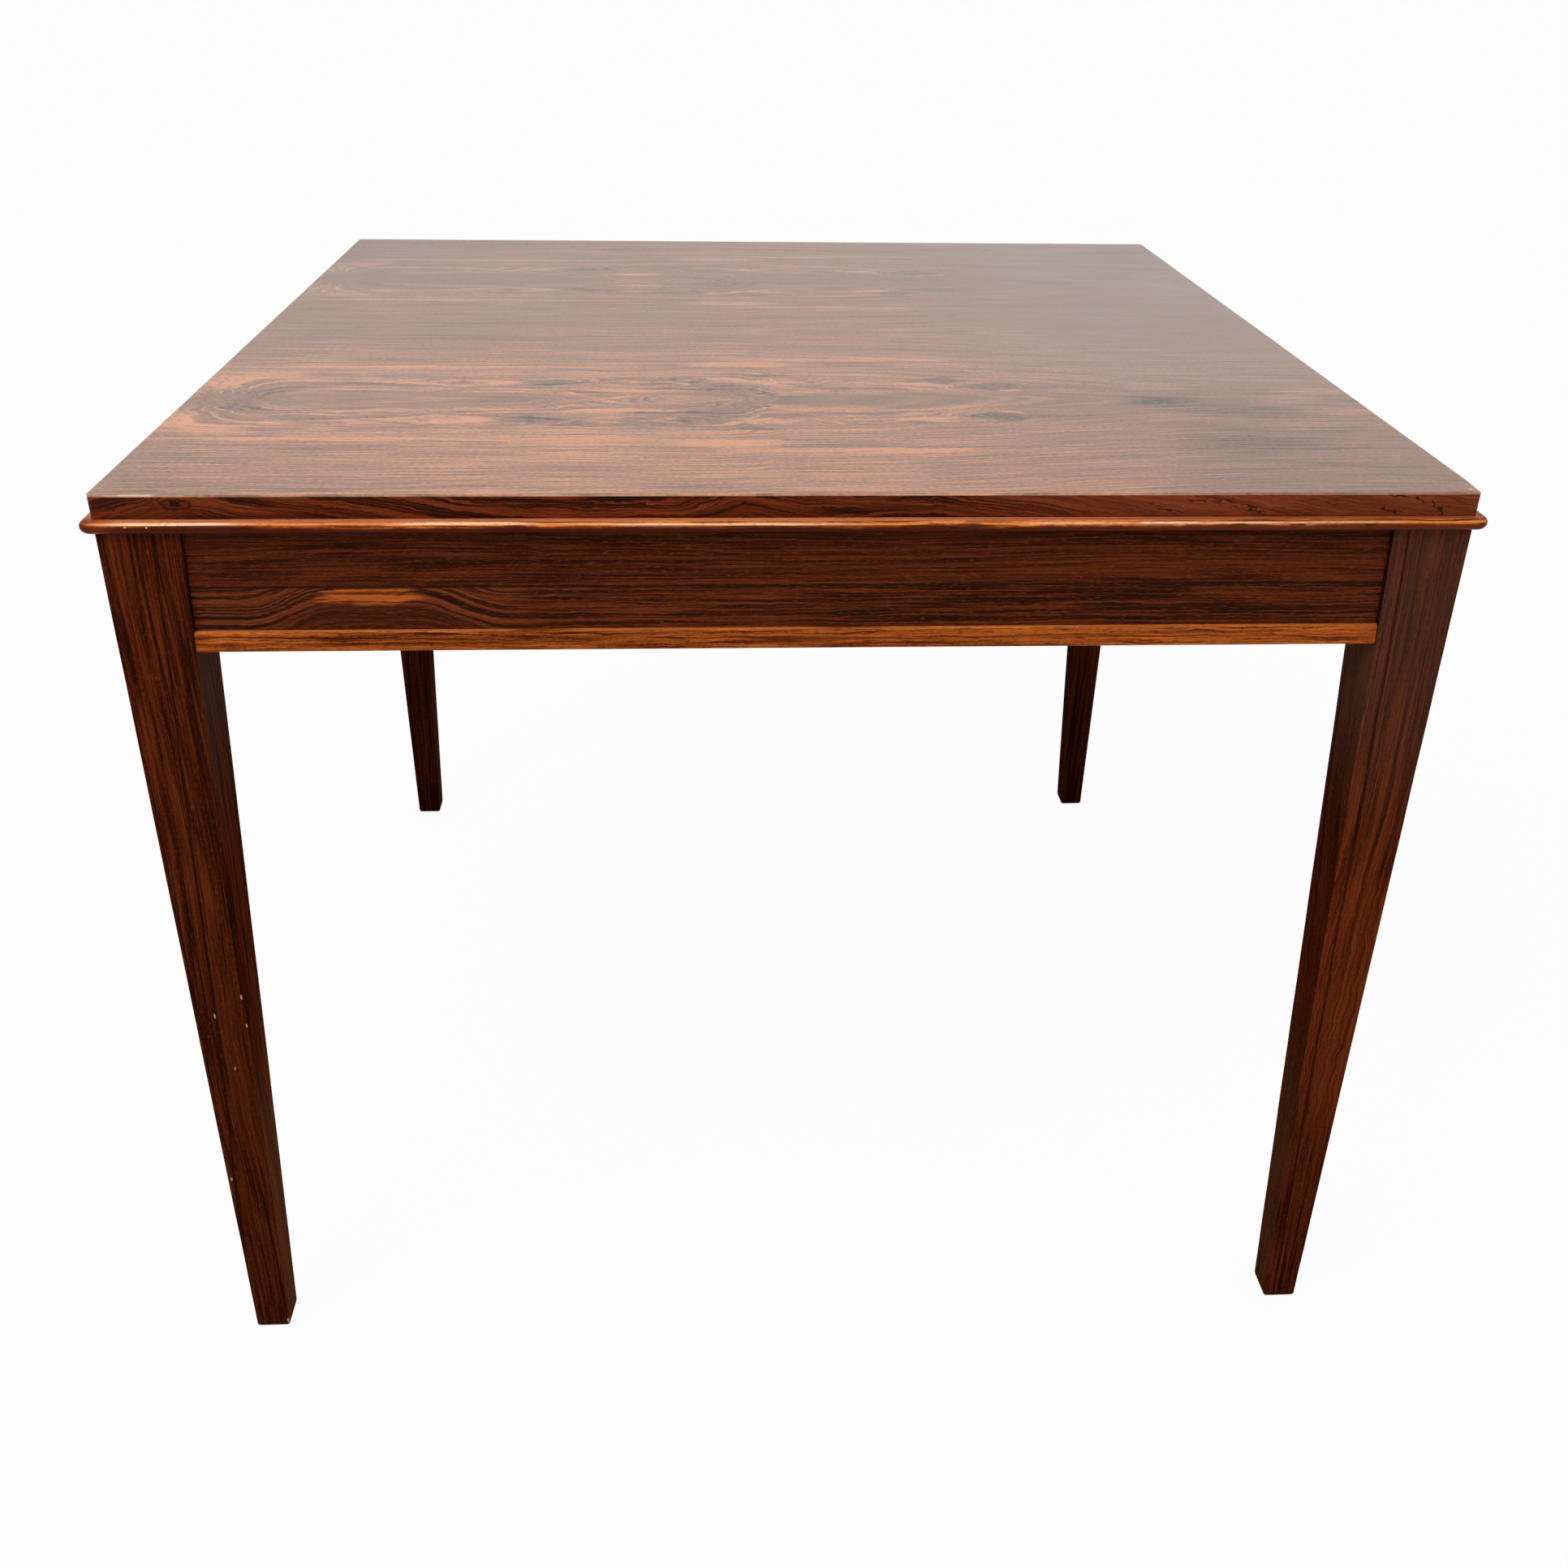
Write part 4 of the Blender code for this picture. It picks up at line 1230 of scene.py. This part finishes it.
def make_camera():
    """The photograph's camera."""
    yaw, pitch, roll = (math.radians(angle) for angle in (CAMERA_YAW, CAMERA_PITCH, CAMERA_ROLL))
    ahead = Vector((math.sin(yaw) * math.cos(pitch), math.cos(yaw) * math.cos(pitch), -math.sin(pitch)))
    level = Vector((math.cos(yaw), -math.sin(yaw), 0))
    down = ahead.cross(level)
    right = level * math.cos(roll) + down * math.sin(roll)
    down = down * math.cos(roll) - level * math.sin(roll)
    data = bpy.data.cameras.new("photo_camera")
    data.sensor_width = SENSOR_WIDTH
    data.lens = FOCAL_LENGTH / PHOTO_SIZE * SENSOR_WIDTH
    data.shift_x = (PHOTO_SIZE / 2 - OPTICAL_CENTRE[0]) / PHOTO_SIZE
    data.shift_y = (OPTICAL_CENTRE[1] - PHOTO_SIZE / 2) / PHOTO_SIZE
    data.clip_start = 0.01
    data.clip_end = FLOOR_RADIUS * 2
    camera = bpy.data.objects.new("photo_camera", data)
    turn = Matrix((right, -down, -ahead)).transposed()
    camera.matrix_world = Matrix.Translation(CAMERA_PLACE) @ turn.to_4x4()
    bpy.context.scene.collection.objects.link(camera)
    bpy.context.scene.camera = camera


# Operators


def make_on_all_sides(context, make_piece, name, figure, roughness, specular):
    """Makes a piece for each side of the table, in one of two materials: its grain runs along it."""
    colours = context.scene.table_colours
    materials = [
        finish(f"{name}_{grain}", figure(colours, grain), roughness, specular, SHEEN_TINT)
        for grain in "xy"
    ]
    for turn, side in enumerate(SIDES):
        make_piece(side, turn, context.scene.table_trim, materials[turn % 2])


class TABLE_OT_stage(bpy.types.Operator):
    """Adds the floor, the light and the camera"""

    bl_idname = "coffee_table.stage"
    bl_label = "Studio and camera"

    def execute(self, context):
        studio = context.scene.table_studio
        context.scene.view_settings.view_transform = "Standard"
        make_floor(studio)
        make_surroundings(studio)
        make_lamp(studio)
        make_camera()
        return {"FINISHED"}


class TABLE_OT_top(bpy.types.Operator):
    """Adds the figured face veneer"""

    bl_idname = "coffee_table.top"
    bl_label = "Face veneer"

    def execute(self, context):
        colours = context.scene.table_colours
        material = finish("figured_rosewood", top_figure(colours), roughness=0.30)
        make_top_veneer(context.scene.table_trim, material)
        return {"FINISHED"}


class TABLE_OT_lippings(bpy.types.Operator):
    """Adds the four lippings round the board"""

    bl_idname = "coffee_table.lippings"
    bl_label = "Lippings"

    def execute(self, context):
        make_on_all_sides(context, make_lipping, "edge_rosewood", edge_figure, 0.36, DARK_SHEEN)
        return {"FINISHED"}


class TABLE_OT_mouldings(bpy.types.Operator):
    """Adds the four strips of half-round moulding"""

    bl_idname = "coffee_table.mouldings"
    bl_label = "Mouldings"

    def execute(self, context):
        make_on_all_sides(context, make_moulding, "moulding_rosewood", nose_figure, 0.28, 0.06)
        return {"FINISHED"}


class TABLE_OT_aprons(bpy.types.Operator):
    """Gives the four aprons their veneer"""

    bl_idname = "coffee_table.aprons"
    bl_label = "Aprons"

    def execute(self, context):
        colours = context.scene.table_colours
        for grain, hills, sides in APRON_HILLS:
            look = apron_figure(colours, grain, hills)
            material = finish(f"apron_rosewood_{grain}", look, 0.55, DARK_SHEEN, SHEEN_TINT)
            for side in sides:
                dress(f"apron_{side}", material)
        return {"FINISHED"}


class TABLE_OT_beads(bpy.types.Operator):
    """Adds the bead along the lower edge of each apron"""

    bl_idname = "coffee_table.beads"
    bl_label = "Beads"

    def execute(self, context):
        make_on_all_sides(context, make_bead, "bead_rosewood", bead_figure, 0.35, 0.05)
        return {"FINISHED"}


class TABLE_OT_legs(bpy.types.Operator):
    """Adds the four tapered legs"""

    bl_idname = "coffee_table.legs"
    bl_label = "Legs"

    def execute(self, context):
        material = finish("leg_rosewood", leg_figure(context.scene.table_colours), 0.70, 0.0, SHEEN_TINT)
        for corner in CORNERS:
            make_leg(corner, context.scene.table_trim, material)
        return {"FINISHED"}


class TABLE_OT_inner_wood(bpy.types.Operator):
    """Gives the core, the backing veneer, the corner blocks and the dowels their woods"""

    bl_idname = "coffee_table.inner_wood"
    bl_label = "Inner woods"

    def execute(self, context):
        colours = context.scene.table_colours
        dress("board_core", finish("chip_board", chip_board(colours.board), 0.75, 0.3))
        dress("backing_veneer", finish("backing_wood", pale_wood(colours.backing, "x", 5.0), 0.6, 0.3))
        dress("corner_block", finish("block_beech", pale_wood(colours.beech, "x"), 0.62, 0.3))
        dress("dowel", finish("dowel_beech", pale_wood(colours.beech, "z", 2.0), 0.65, 0.3))
        return {"FINISHED"}


class TABLE_OT_screws(bpy.types.Operator):
    """Gives the screws their steel"""

    bl_idname = "coffee_table.screws"
    bl_label = "Screws"

    def execute(self, context):
        steel = finish("screw_steel", screw_metal(context.scene.table_colours.steel), 0.32, metallic=1.0)
        for prefix in ("block_screw", "top_screw", "pocket_screw"):
            dress(prefix, steel)
        return {"FINISHED"}


STEPS = (
    TABLE_OT_stage,
    TABLE_OT_top,
    TABLE_OT_lippings,
    TABLE_OT_mouldings,
    TABLE_OT_aprons,
    TABLE_OT_beads,
    TABLE_OT_legs,
    TABLE_OT_inner_wood,
    TABLE_OT_screws,
)


class TABLE_PT_panel(bpy.types.Panel):
    """Lists the steps that dress the table"""

    bl_idname = "TABLE_PT_panel"
    bl_label = "Rosewood Coffee Table"
    bl_space_type = "VIEW_3D"
    bl_region_type = "UI"
    bl_category = "Coffee Table"

    def draw(self, context):
        for step in STEPS:
            self.layout.operator(step.bl_idname)
        for group in (context.scene.table_colours, context.scene.table_trim, context.scene.table_studio):
            box = self.layout.box()
            for name in group.__annotations__:
                box.prop(group, name)


CLASSES = (RosewoodColours, TableTrim, Studio, *STEPS, TABLE_PT_panel)


def register():
    for each in CLASSES:
        bpy.utils.register_class(each)
    bpy.types.Scene.table_colours = PointerProperty(type=RosewoodColours)
    bpy.types.Scene.table_trim = PointerProperty(type=TableTrim)
    bpy.types.Scene.table_studio = PointerProperty(type=Studio)


def unregister():
    del bpy.types.Scene.table_studio
    del bpy.types.Scene.table_trim
    del bpy.types.Scene.table_colours
    for each in reversed(CLASSES):
        bpy.utils.unregister_class(each)


def main():
    register()
    bpy.ops.coffee_table.stage()
    bpy.ops.coffee_table.top()
    bpy.ops.coffee_table.lippings()
    bpy.ops.coffee_table.mouldings()
    bpy.ops.coffee_table.aprons()
    bpy.ops.coffee_table.beads()
    bpy.ops.coffee_table.legs()
    bpy.ops.coffee_table.inner_wood()
    bpy.ops.coffee_table.screws()


if __name__ == "__main__":
    main()
